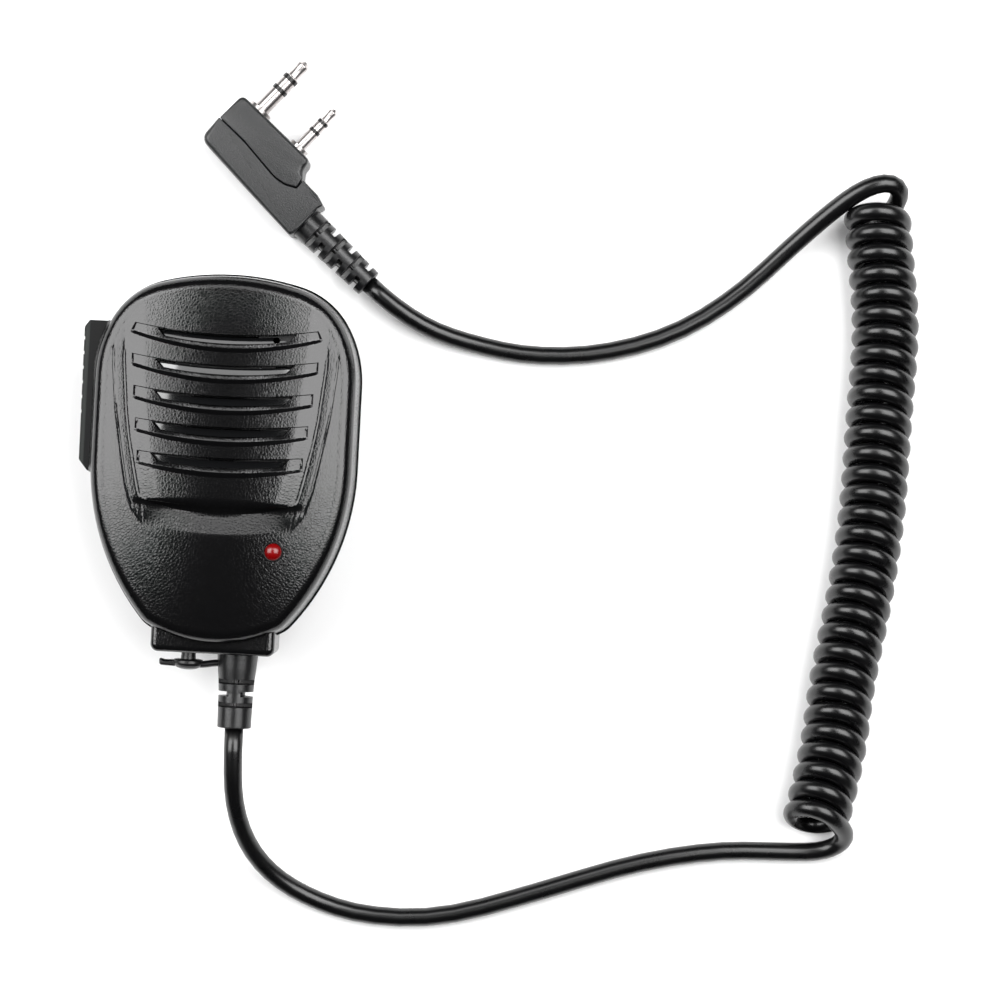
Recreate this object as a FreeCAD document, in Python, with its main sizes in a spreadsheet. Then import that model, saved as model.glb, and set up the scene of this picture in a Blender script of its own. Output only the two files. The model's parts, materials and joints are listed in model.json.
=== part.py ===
import FreeCAD, Part
import math
import os
import re
import Sketcher
from FreeCAD import Placement, Rotation, Vector

# Hand microphone of a two-way radio, in millimetres.
# It lies face up on the arm of its rear clip: +Z is out of the face, +Y towards the
# top edge, -X towards the talk button. The origin is under the middle of the clip arm.

doc = FreeCAD.newDocument("hand_microphone")

# Driving sizes, each written once.
SIZES = {
    # housing outline at the parting plane
    "half_width": 28.1, "top_y": 40.0, "top_round": 55.6, "corner_round": 17.0,
    "side_round": 25.0, "shoulder": 22.3, "flank_top": 0.0, "chin_y": 38.4,
    "waist_half": 15.7, "waist_rise": 4.8, "chin_corner": 6.0,
    # heights above the surface that the clip arm lies on
    "arm_thick": 2.4, "clip_gap": 5.0, "base_thick": 1.8, "swivel_gap": 0.5,
    "rear_depth": 10.3, "front_height": 12.2, "panel_rise": 0.8,
    # walls and face
    "wall": 2.2, "back_wall": 2.0, "rear_lip": 0.35, "front_draft": 4.0, "rear_draft": 7.0,
    "cross_crown": 120.0, "long_crown": 300.0, "crown_y": 6.0, "rim_round": 3.0,
    "cavity_height": 7.8, "film_seat": 1.8,
    # neck under the chin
    "neck_half": 13.1, "neck_y": 40.2, "neck_front": 6.4, "neck_rear": 7.4, "neck_round": 1.6,
    "neck_wall": 2.2,
    # raised grille panel and its five louvre slots
    "panel_top": 36.6, "panel_half_top": 22.4, "panel_shoulder": 30.0, "panel_half_waist": 17.4,
    "panel_waist": 10.6, "panel_bottom": 14.9, "slot_count": 5, "slot_pitch": 6.55,
    "slot_y": 25.05, "slot_half": 20.4, "slot_shrink": 0.62, "slot_depth": 2.4,
    "window_half": 14.6, "window_lean": 1.5, "scoop_half": 15.4, "scoop_y": 8.4,
    # lamp, speaker and microphone element
    "led_x": 12.1, "led_y": 17.9, "led_dia": 3.6, "led_gap": 0.25,
    "speaker_y": 8.5, "speaker_dia": 32.0, "film_thick": 0.4, "gasket_thick": 0.6,
    "basket_height": 4.6, "magnet_dia": 16.0, "magnet_height": 3.6, "film_half": 17.6,
    "film_low": 4.6, "film_high": 30.3, "mic_x": 10.5, "mic_y": 26.3, "mic_dia": 6.0,
    "mic_height": 2.7, "boot_wall": 0.8,
    # talk button and its switch
    "button_low": 2.9, "button_high": 28.9, "button_out": 30.6, "button_in": 24.7,
    "button_height": 10.0, "button_gap": 0.3, "talk_travel": 1.2, "lip_high": 20.0, "switch_y": 13.0,
    "switch_size": 6.0, "plunger_dia": 3.2, "plunger_gap": 0.08,
    # circuit board and what stands on it
    "board_drop": 3.8, "board_thick": 1.2, "board_left": 20.8, "board_right": 17.5,
    "board_top": 22.0, "board_low": 21.6, "tongue_half": 9.4, "tongue_low": 34.5,
    # case screws
    "upper_screw_x": 19.5, "upper_screw_y": 27.5, "lower_screw_x": 13.2, "lower_screw_y": 25.5,
    "post_dia": 5.6, "screw_dia": 2.4, "screw_head": 4.8, "screw_gap": 0.1,
    "head_height": 1.8, "post_foot": 5.0,
    # swivel clip
    "swivel_y": 6.0, "swivel_dia": 5.0, "swivel_head": 9.0, "head_thick": 1.1, "fit_gap": 0.07,
    "base_half": 9.0, "base_low": 8.0, "base_high": 19.5, "pin_y": 14.0, "pin_z": 5.0,
    "pin_dia": 2.0, "ear_round": 2.0, "ear_in": 6.2, "ear_out": 8.4, "arm_ear_in": 3.7,
    "arm_ear_out": 5.9, "arm_half": 7.0, "arm_low": 25.0, "arm_high": 27.0, "toe_length": 3.6,
    "toe_gap": 0.3, "spring_dia": 4.0, "spring_wire": 0.7,
    # socket, its cap, and the cord's strain relief
    "exit_x": 4.9, "exit_z": 18.7, "relief_dia": 8.7, "relief_end_dia": 7.3, "relief_length": 15.7,
    "relief_gap": 0.1,
    "flange_dia": 10.4, "flange_thick": 1.5, "stem_dia": 7.4, "jack_x": 5.6, "jack_bore": 3.6,
    "jack_wide": 6.4, "jack_length": 11.5, "cap_stem": 3.1, "cap_head": 6.4, "cap_thick": 2.1,
    "cap_out": 1.8, "cap_reach": 7.5, "tab_length": 3.1, "tab_high": 2.1,
    # cord
    "cord_dia": 4.0, "coil_dia": 14.6,
    # two-pin plug, in its own frame: u along the pin face, v along the pins
    "plug_x": 2.7, "plug_y": 77.7, "plug_turn": -41.1, "plug_thick": 10.5, "pin_gap": 11.7,
    "big_pin": 3.5, "big_length": 14.0, "small_pin": 2.5, "small_length": 11.0,
    "flange_rise": 0.8, "block_left": 4.6, "block_right": 16.1, "seam_v": 7.75, "seam_dip": 1.15,
    "seam_end_u": 18.1, "seam_end_v": 7.2, "plug_waist_v": 4.9, "plug_back": 14.0,
    "back_slope": 1.6, "plug_neck": 24.4, "neck_top_v": 5.9, "plug_axis_v": 11.1,
    "plug_relief_dia": 7.4, "plug_relief_end": 6.4, "plug_relief_length": 19.1,
    "relief_sunk": 0.3,
}

# The cord's route, point by point: from the strain relief to the coil, along the
# middle of the coil, and from the coil's top to the plug's strain relief.
MIC_LEAD = [
    (4.9, -56.0, 18.7), (4.9, -64.5, 18.7), (5.6, -74.0, 14.6), (8.6, -82.6, 9.2),
    (14.2, -89.2, 5.0), (22.2, -93.8, 2.5), (33.6, -97.0, 2.1), (50.5, -96.8, 2.1),
    (70.0, -90.4, 2.1), (92.0, -82.4, 2.1), (110.0, -78.4, 2.1), (123.0, -78.0, 2.1),
    (129.0, -76.6, 2.1),
]
COIL_LINE = [
    (137.0, 65.0, 7.4), (138.7, 52.0, 7.4), (140.9, 37.0, 7.4), (140.1, 17.0, 7.4),
    (139.9, -3.0, 7.4), (138.0, -22.0, 7.4), (134.9, -41.0, 7.4), (134.0, -57.0, 7.4),
    (129.9, -75.8, 7.4),
]
PLUG_LEAD = [
    (27.958, 40.935, 5.25), (32.329, 37.122, 5.25), (41.5, 31.8, 3.7), (51.4, 29.1, 2.3),
    (63.8, 27.1, 2.1), (79.0, 28.2, 2.1), (94.8, 33.2, 2.1), (108.4, 42.4, 2.3),
    (119.8, 54.2, 3.4), (130.4, 64.4, 6.4),
]

FAR = 60.0  # longer than any piece, for cuts that go right through


# ---- sheet, expressions and sketches -------------------------------------------------

def fill_sheet():
    sheet = doc.addObject("Spreadsheet::Sheet", "Sizes")
    for row, (alias, value) in enumerate(SIZES.items(), start=1):
        sheet.set(f"A{row}", alias)
        sheet.set(f"B{row}", str(value))
        sheet.setAlias(f"B{row}", alias)
    doc.recompute()
    return sheet


sheet = fill_sheet()

# Named heights and places that several pieces share, as expressions on the sheet.
PLACES = {
    "base_under": "(arm_thick + clip_gap)",
    "base_upper": "(arm_thick + clip_gap + base_thick)",
    "shell_back": "(arm_thick + clip_gap + base_thick + swivel_gap)",
    "parting": "(arm_thick + clip_gap + base_thick + swivel_gap + rear_depth)",
    "board_under": "(arm_thick + clip_gap + base_thick + swivel_gap + rear_depth"
                   " - board_drop - board_thick)",
    "board_upper": "(arm_thick + clip_gap + base_thick + swivel_gap + rear_depth - board_drop)",
    "film_upper": "(arm_thick + clip_gap + base_thick + swivel_gap + rear_depth"
                  " + cavity_height + film_seat)",
}


def link(text):
    """Spells out an expression in terms of the sheet's cells."""
    text = str(text)
    for name, meaning in PLACES.items():
        text = re.sub(rf"\b{name}\b", meaning, text)
    return re.sub(r"[a-z][a-z_0-9]*", lambda m: f"Sizes.{m[0]}" if m[0] in SIZES else m[0], text)


def number(text):
    return float(sheet.evalExpression(link(text)))


def bind(obj, prop, text):
    obj.setExpression(prop, link(text))


def new_body(name):
    body = doc.addObject("PartDesign::Body", name)
    body.Label = name
    return body


def new_sketch(body, name, role="XY_Plane", height="0"):
    plane = next(f for f in body.Origin.OriginFeatures if f.Role == role)
    sk = body.newObject("Sketcher::SketchObject", name)
    sk.AttachmentSupport = [(plane, "")]
    sk.MapMode = "FlatFace"
    bind(sk, ".AttachmentOffset.Base.z", height)
    return sk


def dimension(sk, kind, refs, text):
    """Adds one dimension to a sketch and binds it to the sheet."""
    start = number(text)
    index = sk.addConstraint(Sketcher.Constraint(kind, *refs, start))
    sk.setExpression(f"Constraints[{index}]", link(text))


def pin_point(sk, geo, pos, x, y):
    dimension(sk, "DistanceX", (-1, 1, geo, pos), x)
    dimension(sk, "DistanceY", (-1, 1, geo, pos), y)


def arc_between(a, b, radius):
    """Arc from a to b; a positive radius turns left, a negative one turns right."""
    chord = b - a
    half = chord.Length / 2
    rise = math.sqrt(max(radius * radius - half * half, 0.0))
    left = Vector(-chord.y, chord.x, 0).normalize()
    centre = (a + b) / 2 + left * (rise if radius > 0 else -rise)
    first, last = (a, b) if radius > 0 else (b, a)
    angles = [math.atan2(p.y - centre.y, p.x - centre.x) for p in (first, last)]
    if angles[1] <= angles[0]:
        angles[1] += 2 * math.pi
    return Part.ArcOfCircle(Part.Circle(centre, Vector(0, 0, 1), abs(radius)), *angles)


def loop(sk, points):
    """Closed outline through points (x, y) or (x, y, radius of the arc to the next)."""
    spots = [Vector(number(p[0]), number(p[1]), 0) for p in points]
    ends = []
    for k, point in enumerate(points):
        a, b = spots[k], spots[(k + 1) % len(points)]
        if len(point) == 2:
            geo = sk.addGeometry(Part.LineSegment(a, b), False)
            ends.append((geo, 1, 2))
            continue
        radius = number(point[2])
        geo = sk.addGeometry(arc_between(a, b, radius), False)
        ends.append((geo, 1, 2) if radius > 0 else (geo, 2, 1))
    for k, point in enumerate(points):
        geo, start, end = ends[k]
        following = ends[(k + 1) % len(points)]
        sk.addConstraint(Sketcher.Constraint("Coincident", geo, end, following[0], following[1]))
        pin_point(sk, geo, start, point[0], point[1])
        if len(point) == 3:
            size = point[2] if number(point[2]) > 0 else f"0 - ({point[2]})"
            dimension(sk, "Radius", (geo,), size)


def circle(sk, x, y, radius):
    place = Vector(number(x), number(y), 0)
    geo = sk.addGeometry(Part.Circle(place, Vector(0, 0, 1), number(radius)), False)
    pin_point(sk, geo, 3, x, y)
    dimension(sk, "Radius", (geo,), radius)


def box_loop(sk, x0, x1, y0, y1):
    loop(sk, [(x0, y0), (x1, y0), (x1, y1), (x0, y1)])


def add(body, kind, name, profile, **sizes):
    """One PartDesign feature on a sketch; text sizes are bound, other values are set."""
    feature = body.newObject(f"PartDesign::{kind}", name)
    feature.Profile = profile
    for prop, value in sizes.items():
        if isinstance(value, str) and prop in ("Length", "Angle", "TaperAngle"):
            bind(feature, prop, value)
        else:
            setattr(feature, prop, value)
    profile.Visibility = False
    return feature


def pad(body, name, sk, length, **more):
    return add(body, "Pad", name, sk, Length=length, **more)


def settle():
    """Recomputes the document and stops at the first object that fails."""
    doc.recompute()
    for obj in doc.Objects:
        if "Invalid" in obj.State or "Error" in obj.State:
            raise RuntimeError(f"{obj.Name}: {obj.getStatusString()}")


def pocket(body, name, sk, length, **more):
    """Cuts below the sketch, or above it when Reversed; says so if nothing is cut."""
    settle()
    before = body.Shape.Volume
    feature = add(body, "Pocket", name, sk, Length=length, **more)
    settle()
    if not body.Shape.Volume < before - 0.01:
        raise RuntimeError(f"{body.Label}: {name} cuts nothing")
    return feature


def turned(body, kind, name, sk, **more):
    """Revolution or Groove about the sketch's first construction line."""
    feature = body.newObject(f"PartDesign::{kind}", name)
    feature.Profile = sk
    feature.ReferenceAxis = (sk, ["Axis0"])
    feature.Angle = 360.0
    for prop, value in more.items():
        setattr(feature, prop, value)
    return feature


def axis_line(sk, x0, y0, x1, y1):
    a = Vector(number(x0), number(y0), 0)
    b = Vector(number(x1), number(y1), 0)
    geo = sk.addGeometry(Part.LineSegment(a, b), True)
    pin_point(sk, geo, 1, x0, y0)
    pin_point(sk, geo, 2, x1, y1)


def dress(body, kind, name, size, wanted):
    """Fillet or Chamfer on the edges that the test picks."""
    settle()
    base = body.Tip
    names = [f"Edge{k}" for k, e in enumerate(base.Shape.Edges, start=1) if wanted(e)]
    feature = body.newObject(f"PartDesign::{kind}", name)
    feature.Base = (base, names)
    bind(feature, "Radius" if kind == "Fillet" else "Size", size)
    settle()
    return feature


def level_edge(height, tolerance=0.01):
    """Picks edges that lie level at one height."""
    z = number(height)
    return lambda e: abs(e.BoundBox.ZMin - z) < tolerance and abs(e.BoundBox.ZMax - z) < tolerance


def lies_on(face):
    """Picks the edges that bound one face."""
    def test(e):
        middle = e.valueAt((e.FirstParameter + e.LastParameter) / 2)
        return face.distToShape(Part.Vertex(middle))[0] < 1e-4
    return test


def upright_edge(e):
    return e.BoundBox.ZLength > 0.5 and e.BoundBox.XLength < 0.01 and e.BoundBox.YLength < 0.01


def place(body, x="0", y="0", z="0", axis=(0, 0, 1), turn=0.0):
    body.Placement = Placement(Vector(number(x), number(y), number(z)),
                               Rotation(Vector(*axis), turn))
    for prop, text in zip("xyz", (x, y, z)):
        bind(body, f".Placement.Base.{prop}", text)


def round_body(name, profile, x="0", y="0", z="0", axis=(0, 0, 1), turn=0.0):
    """A turned piece: profile points (radius, height) about its own Z axis."""
    body = new_body(name)
    sk = new_sketch(body, f"{name}_profile", "XZ_Plane")
    axis_line(sk, "0", "0", "0", "10")
    loop(sk, profile)
    turned(body, "Revolution", f"{name}_turned", sk)
    place(body, x, y, z, axis, turn)
    return body


def ring_profile(inner, outer, low, high):
    return [(inner, low), (outer, low), (outer, high), (inner, high)]


def plate_body(name, outline, low, height, extra=()):
    """A flat piece: one outline and any holes, padded upwards."""
    body = new_body(name)
    sk = new_sketch(body, f"{name}_outline", height=low)
    loop(sk, outline)
    for hole in extra:
        circle(sk, *hole)
    pad(body, f"{name}_pad", sk, height)
    return body


def box_points(x0, x1, y0, y1):
    return [(x0, y0), (x1, y0), (x1, y1), (x0, y1)]


def group(name, bodies):
    """Several equal or joined solids that share one node."""
    node = doc.addObject("Part::Compound", name)
    node.Links = bodies
    node.Label = name
    return node


# ---- housing -------------------------------------------------------------------------

def crossing(c1, r1, c2, r2, right):
    """Where two circles cross, on the right or the left of the line from c1 to c2."""
    gap = c2 - c1
    along = (gap.Length ** 2 + r1 * r1 - r2 * r2) / (2 * gap.Length)
    aside = math.sqrt(r1 * r1 - along * along)
    unit = Vector(gap).normalize()
    side = Vector(unit.y, -unit.x, 0) * (1 if right else -1)
    return c1 + unit * along + side * aside


def polar(centre, radius, angle):
    return centre + Vector(radius * math.cos(angle), radius * math.sin(angle), 0)


def heading(centre, point):
    return math.atan2(point.y - centre.y, point.x - centre.x)


def half_outline(size):
    """Centres, radii and end angles of the right-hand arcs, from the chin up to the top."""
    top = Vector(0, size["top_y"] - size["top_round"], 0)
    side = Vector(size["half_width"] - size["side_round"], size["side_top"], 0)
    corner = crossing(top, size["top_round"] - size["corner_round"],
                      side, size["side_round"] - size["corner_round"], right=True)
    if corner.x < side.x:
        corner = crossing(top, size["top_round"] - size["corner_round"],
                          side, size["side_round"] - size["corner_round"], right=False)
    waist = Vector(size["waist_half"], size["waist_y"], 0)
    drop = waist - Vector(size["half_width"], size["flank_top"], 0)
    flank_round = (drop.x ** 2 + drop.y ** 2) / (-2 * drop.x)
    flank = Vector(size["half_width"] - flank_round, size["flank_top"], 0)
    lean = heading(flank, waist)
    chin_corner = polar(waist, -size["chin_corner"], lean)
    lift = chin_corner.y + size["chin_y"]
    chin_round = ((chin_corner.x ** 2 + lift ** 2 - size["chin_corner"] ** 2)
                  / (2 * (lift - size["chin_corner"])))
    chin = Vector(0, chin_round - size["chin_y"], 0)
    low = heading(chin, chin_corner)
    high = heading(corner, corner + (corner - top))
    middle = heading(side, corner)
    return [(chin_corner, size["chin_corner"], low, lean), (flank, flank_round, lean, 0.0),
            None, (side, size["side_round"], 0.0, middle),
            (corner, size["corner_round"], middle, high)], (chin, chin_round), top


def housing_outline(sk, grow):
    """The tangent chain of arcs round the housing, moved outwards by grow."""
    texts = {
        "half_width": f"half_width + ({grow})", "top_y": f"top_y + ({grow})",
        "top_round": f"top_round + ({grow})", "corner_round": f"corner_round + ({grow})",
        "side_round": f"side_round + ({grow})", "side_top": "top_y - shoulder",
        "flank_top": "flank_top", "chin_y": f"chin_y + ({grow})",
        "waist_half": f"waist_half + 0.7 * ({grow})",
        "waist_y": f"0 - chin_y + waist_rise - 0.7 * ({grow})",
        "chin_corner": f"chin_corner + 0.4 * ({grow})",
    }
    size = {key: number(text) for key, text in texts.items()}
    right, (chin, chin_round), top = half_outline(size)
    mirrored = lambda c: Vector(-c.x, c.y, 0)
    full = []

    def arc(centre, radius, a, b):
        full.append(Part.ArcOfCircle(Part.Circle(centre, Vector(0, 0, 1), radius), a, b))

    chin_low = right[0][2]
    arc(chin, chin_round, -math.pi - chin_low, chin_low)
    for part in right:
        if part is None:
            x, low, high = size["half_width"], size["flank_top"], size["side_top"]
            full.append(Part.LineSegment(Vector(x, low, 0), Vector(x, high, 0)))
        else:
            arc(*part)
    shoulder_angle = right[-1][3]
    arc(top, size["top_round"], shoulder_angle, math.pi - shoulder_angle)
    for part in reversed(right):
        if part is None:
            x, low, high = -size["half_width"], size["flank_top"], size["side_top"]
            full.append(Part.LineSegment(Vector(x, high, 0), Vector(x, low, 0)))
        else:
            arc(mirrored(part[0]), part[1], math.pi - part[3], math.pi - part[2])
    geo = [sk.addGeometry(item, False) for item in full]
    for a, b in zip(geo, geo[1:] + geo[:1]):
        sk.addConstraint(Sketcher.Constraint("Tangent", a, 2, b, 1))
    tie_outline(sk, geo, texts)


def tie_outline(sk, geo, texts):
    """Dimensions of the tangent chain: chin, corner, flank, side line, side, corner, top."""
    chin, kr, fr, lr, sr, cr, top, cl, sl, ll, fl, kl = geo
    pin_point(sk, lr, 1, texts["half_width"], texts["flank_top"])
    dimension(sk, "DistanceY", (-1, 1, lr, 2), texts["side_top"])
    sk.addConstraint(Sketcher.Constraint("Vertical", lr))
    pin_point(sk, ll, 2, f"0 - ({texts['half_width']})", texts["flank_top"])
    dimension(sk, "DistanceY", (-1, 1, ll, 1), texts["side_top"])
    sk.addConstraint(Sketcher.Constraint("Vertical", ll))
    dimension(sk, "Radius", (top,), texts["top_round"])
    pin_point(sk, top, 3, "0", f"{texts['top_y']} - ({texts['top_round']})")
    for corner in (cr, cl):
        dimension(sk, "Radius", (corner,), texts["corner_round"])
    for side in (sr, sl):
        dimension(sk, "Radius", (side,), texts["side_round"])
    pin_point(sk, fr, 1, texts["waist_half"], texts["waist_y"])
    pin_point(sk, fl, 2, f"0 - ({texts['waist_half']})", texts["waist_y"])
    for corner in (kr, kl):
        dimension(sk, "Radius", (corner,), texts["chin_corner"])
    low = sk.addGeometry(Part.Point(Vector(0, -number(texts["chin_y"]), 0)), True)
    pin_point(sk, low, 1, "0", f"0 - ({texts['chin_y']})")
    sk.addConstraint(Sketcher.Constraint("PointOnObject", low, 1, chin))


def crown_cut(body, name, top):
    """Cuts the face to its crown: an arc along Y, swung about an axis under the face."""
    sk = new_sketch(body, f"{name}_section", "YZ_Plane")
    axis_line(sk, "0 - 50", f"{top} - cross_crown", "50", f"{top} - cross_crown")
    reach = 48.0
    sink = f"(long_crown - sqrt(long_crown ^ 2 - {reach} ^ 2))"
    low, high = f"crown_y - {reach}", f"crown_y + {reach}"
    loop(sk, [(high, f"{top} - {sink}", "long_crown"), (low, f"{top} - {sink}"),
              (low, f"{top} + 20"), (high, f"{top} + 20")])
    turned(body, "Groove", name, sk, Angle=50.0, Midplane=True)


def screw_spots():
    for sx in ("", "0 - "):
        yield f"{sx}upper_screw_x", "upper_screw_y"
        yield f"{sx}lower_screw_x", "0 - lower_screw_y"


def button_cut(body, side):
    """The talk button's opening in one shell's left wall."""
    sk = new_sketch(body, f"{side}_button_opening", height="parting")
    box_loop(sk, "0 - half_width - 10", "talk_travel + 0.4 - button_in",
             "0 - button_low - button_gap", "button_high + button_gap")
    pocket(body, f"{side}_button_cut", sk, "button_height / 2 + button_gap",
           Reversed=side == "front")


def exit_cut(body, side):
    """Half of the round seats for the strain relief, and the socket's mouth, in the neck."""
    for name, x, radius, low, high in (
        ("relief_stem", "exit_x", "stem_dia / 2 + 0.03", "0 - neck_y - 5", "0 - neck_y + neck_wall + 4"),
        ("relief_flange", "exit_x", "flange_dia / 2 + 0.05",
         "0 - neck_y + neck_wall / 2", "0 - neck_y + neck_wall + 4"),
        ("socket_mouth", "0 - jack_x", "cap_head / 2 - 0.6", "0 - neck_y - 5",
         "0 - neck_y + neck_wall + 4"),
    ):
        sk = new_sketch(body, f"{side}_{name}", "XZ_Plane", f"0 - ({low})")
        circle(sk, x, "exit_z", radius)
        pocket(body, f"{side}_{name}_cut", sk, f"({high}) - ({low})")


def neck(body, side):
    """The block under the chin that holds the cord and the socket."""
    sk = new_sketch(body, f"{side}_neck_outline", height="parting")
    box_loop(sk, "0 - neck_half", "neck_half", "0 - neck_y", "0 - chin_y + waist_rise + 4")
    pad(body, f"{side}_neck_pad", sk, f"neck_{side}", Reversed=side == "rear")


def cavity(body, side, depth):
    sk = new_sketch(body, f"{side}_cavity_outline", height="parting")
    housing_outline(sk, "0 - wall")
    pocket(body, f"{side}_cavity", sk, depth, Reversed=side == "front")
    low = new_sketch(body, f"{side}_neck_room", height="parting")
    box_loop(low, "wall - neck_half", "neck_half - wall", "neck_wall - neck_y",
             "0 - chin_y + waist_rise + 4")
    pocket(body, f"{side}_neck_cavity", low, f"neck_{side} - wall", Reversed=side == "front")


def slot_loop(sk, row):
    """One louvre: two smile-shaped edges between blunt ends."""
    middle = f"slot_y - {row} * slot_pitch"
    half = f"(slot_half - {row} * slot_shrink)"
    loop(sk, [(f"0 - {half}", f"{middle} + 1.6", f"{half} ^ 2 / 7 + 1.75"),
              (half, f"{middle} + 1.6"),
              (half, f"{middle} + 4.1", f"0 - ({half} ^ 2 / 4.5 + 1.12)"),
              (f"0 - {half}", f"{middle} + 4.1")])


def window_loop(sk, row):
    """The opening at the bottom of a louvre, with leaning ends."""
    middle = f"slot_y - {row} * slot_pitch"
    lower = "(window_half - window_lean)"
    loop(sk, [(f"0 - {lower}", f"{middle} + 0.0", "60.6"), (lower, f"{middle} + 0.0"),
              ("window_half", f"{middle} + 2.6", "0 - 92.7"), ("0 - window_half", f"{middle} + 2.6")])


def grille(body):
    """The raised panel, its louvres and windows, and the scoop under them."""
    sk = new_sketch(body, "panel_outline", height="parting + cavity_height + 0.6")
    loop(sk, [("0 - panel_half_waist", "0 - panel_waist"),
              ("3.4 - panel_half_waist", "1.2 - panel_bottom", "89.6"),
              ("panel_half_waist - 3.4", "1.2 - panel_bottom"),
              ("panel_half_waist", "0 - panel_waist", "134.7"),
              ("panel_half_top", "panel_shoulder - 10"),
              ("panel_half_top", "panel_shoulder", "6.5"),
              ("panel_half_top - 5.6", "panel_top - 2.0", "74.7"),
              ("5.6 - panel_half_top", "panel_top - 2.0", "6.5"),
              ("0 - panel_half_top", "panel_shoulder"),
              ("0 - panel_half_top", "panel_shoulder - 10", "134.7")])
    pad(body, "panel_pad", sk, "front_height")
    crown_cut(body, "panel_crown", "(parting + front_height + panel_rise)")
    face = "(parting + front_height + panel_rise)"
    slots = new_sketch(body, "slot_outlines", height=f"{face} + 1")
    for row in range(SIZES["slot_count"]):
        slot_loop(slots, row)
    pocket(body, "slots", slots, "slot_depth + 1")
    windows = new_sketch(body, "window_outlines", height=f"{face} + 1")
    for row in range(SIZES["slot_count"]):
        window_loop(windows, row)
    pocket(body, "windows", windows, f"{face} + 1 - film_upper + 1")
    scoop = new_sketch(body, "scoop_outline", height=f"{face} + 1")
    loop(scoop, [("0 - scoop_half", "0 - scoop_y", "50.9"), ("scoop_half", "0 - scoop_y", "108.4")])
    pocket(body, "scoop", scoop, "slot_depth + 0.8")


def front_posts(body):
    sk = new_sketch(body, "front_posts_outline", height="parting")
    for x, y in screw_spots():
        circle(sk, x, y, "post_dia / 2")
    pad(body, "front_posts", sk, "cavity_height + 0.5")
    holes = new_sketch(body, "front_post_holes", height="parting")
    for x, y in screw_spots():
        circle(holes, x, y, "screw_dia / 2 + screw_gap / 2")
    pocket(body, "front_post_bores", holes, "cavity_height - 1.0", Reversed=True)


def front_shell():
    body = new_body("front_shell")
    sk = new_sketch(body, "front_outline", height="parting")
    housing_outline(sk, "0")
    pad(body, "front_block", sk, "front_height + 3", TaperAngle="0 - front_draft")
    crown_cut(body, "face_crown", "(parting + front_height)")
    doc.recompute()
    crown = max(body.Shape.Faces, key=lambda f: f.CenterOfMass.z)
    dress(body, "Fillet", "rim_fillet", "rim_round", lies_on(crown))
    neck(body, "front")
    dress(body, "Fillet", "front_neck_corners", "neck_round",
          lambda e: upright_edge(e) and e.BoundBox.YMax < -number("neck_y") + 0.1)
    grille(body)
    cavity(body, "front", "cavity_height")
    film = new_sketch(body, "film_seat_outline", height="parting")
    box_loop(film, "0 - film_half - 0.2", "film_half + 0.2", "0 - film_low - 0.2",
             "film_high + 0.2")
    pocket(body, "film_seat_cut", film, "film_upper - parting", Reversed=True)
    seat = new_sketch(body, "speaker_seat_outline", height="parting")
    circle(seat, "0", "speaker_y", "speaker_dia / 2 + 0.2")
    pocket(body, "speaker_seat", seat, "film_upper - film_thick - parting", Reversed=True)
    front_posts(body)
    led = new_sketch(body, "lamp_hole_outline", height="parting")
    circle(led, "led_x", "0 - led_y", "led_dia / 2 + led_gap")
    pocket(body, "lamp_hole", led, "front_height + 3", Reversed=True)
    button_cut(body, "front")
    exit_cut(body, "front")
    return body


def rear_shell():
    body = new_body("rear_shell")
    sk = new_sketch(body, "rear_outline", height="parting")
    housing_outline(sk, "rear_lip")
    pad(body, "rear_block", sk, "rear_depth", Reversed=True, TaperAngle="0 - rear_draft")
    dress(body, "Fillet", "rear_rim_fillet", "rim_round * 0.7", level_edge("shell_back"))
    neck(body, "rear")
    dress(body, "Fillet", "rear_neck_corners", "neck_round",
          lambda e: upright_edge(e) and e.BoundBox.YMax < -number("neck_y") + 0.1)
    cavity(body, "rear", "rear_depth - back_wall")
    posts = new_sketch(body, "rear_posts_outline", height="shell_back + back_wall - 0.5")
    for x, y in screw_spots():
        circle(posts, x, y, "post_dia / 2 + 0.8")
    pad(body, "rear_posts", posts, "rear_depth - back_wall + 0.5")
    boss = new_sketch(body, "swivel_boss_outline", height="shell_back + back_wall - 0.5")
    circle(boss, "0", "swivel_y", "swivel_dia / 2 + 2")
    pad(body, "swivel_boss", boss, "board_under - shell_back - back_wall + 0.5")
    thread = new_sketch(body, "swivel_bore_outline", height="shell_back - 1")
    circle(thread, "0", "swivel_y", "screw_dia / 2 + 0.3")
    pocket(body, "swivel_bore", thread, "board_under - shell_back", Reversed=True)
    heads = new_sketch(body, "screw_recess_outline", height="shell_back - 1")
    for x, y in screw_spots():
        circle(heads, x, y, "screw_head / 2 + 0.3")
    pocket(body, "screw_recesses", heads, "post_foot + 1", Reversed=True)
    bores = new_sketch(body, "screw_bore_outline", height="shell_back - 1")
    for x, y in screw_spots():
        circle(bores, x, y, "screw_dia / 2 + screw_gap")
    pocket(body, "screw_bores", bores, "rear_depth + 5", Reversed=True)
    button_cut(body, "rear")
    exit_cut(body, "rear")
    return body


def turned_screw(name, x, y, z, head, head_high, shank, length, up=True):
    """A pan-head screw standing on its head, with a plain slot-free recess."""
    recess = f"{head} / 4"
    profile = [(recess, "0"), (f"{head} / 2 - 0.3", "0"), (f"{head} / 2", "0.4"),
               (f"{head} / 2", head_high), (f"{shank} / 2", head_high),
               (f"{shank} / 2", f"{head_high} + {length} - 0.6"),
               (f"{shank} / 2 - 0.5", f"{head_high} + {length}"),
               ("0", f"{head_high} + {length}"), ("0", f"{head_high} * 0.5"),
               (recess, f"{head_high} * 0.5")]
    if up:
        return round_body(name, profile, x, y, z)
    return round_body(name, profile, x, y, z, axis=(1, 0, 0), turn=180.0)


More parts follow.
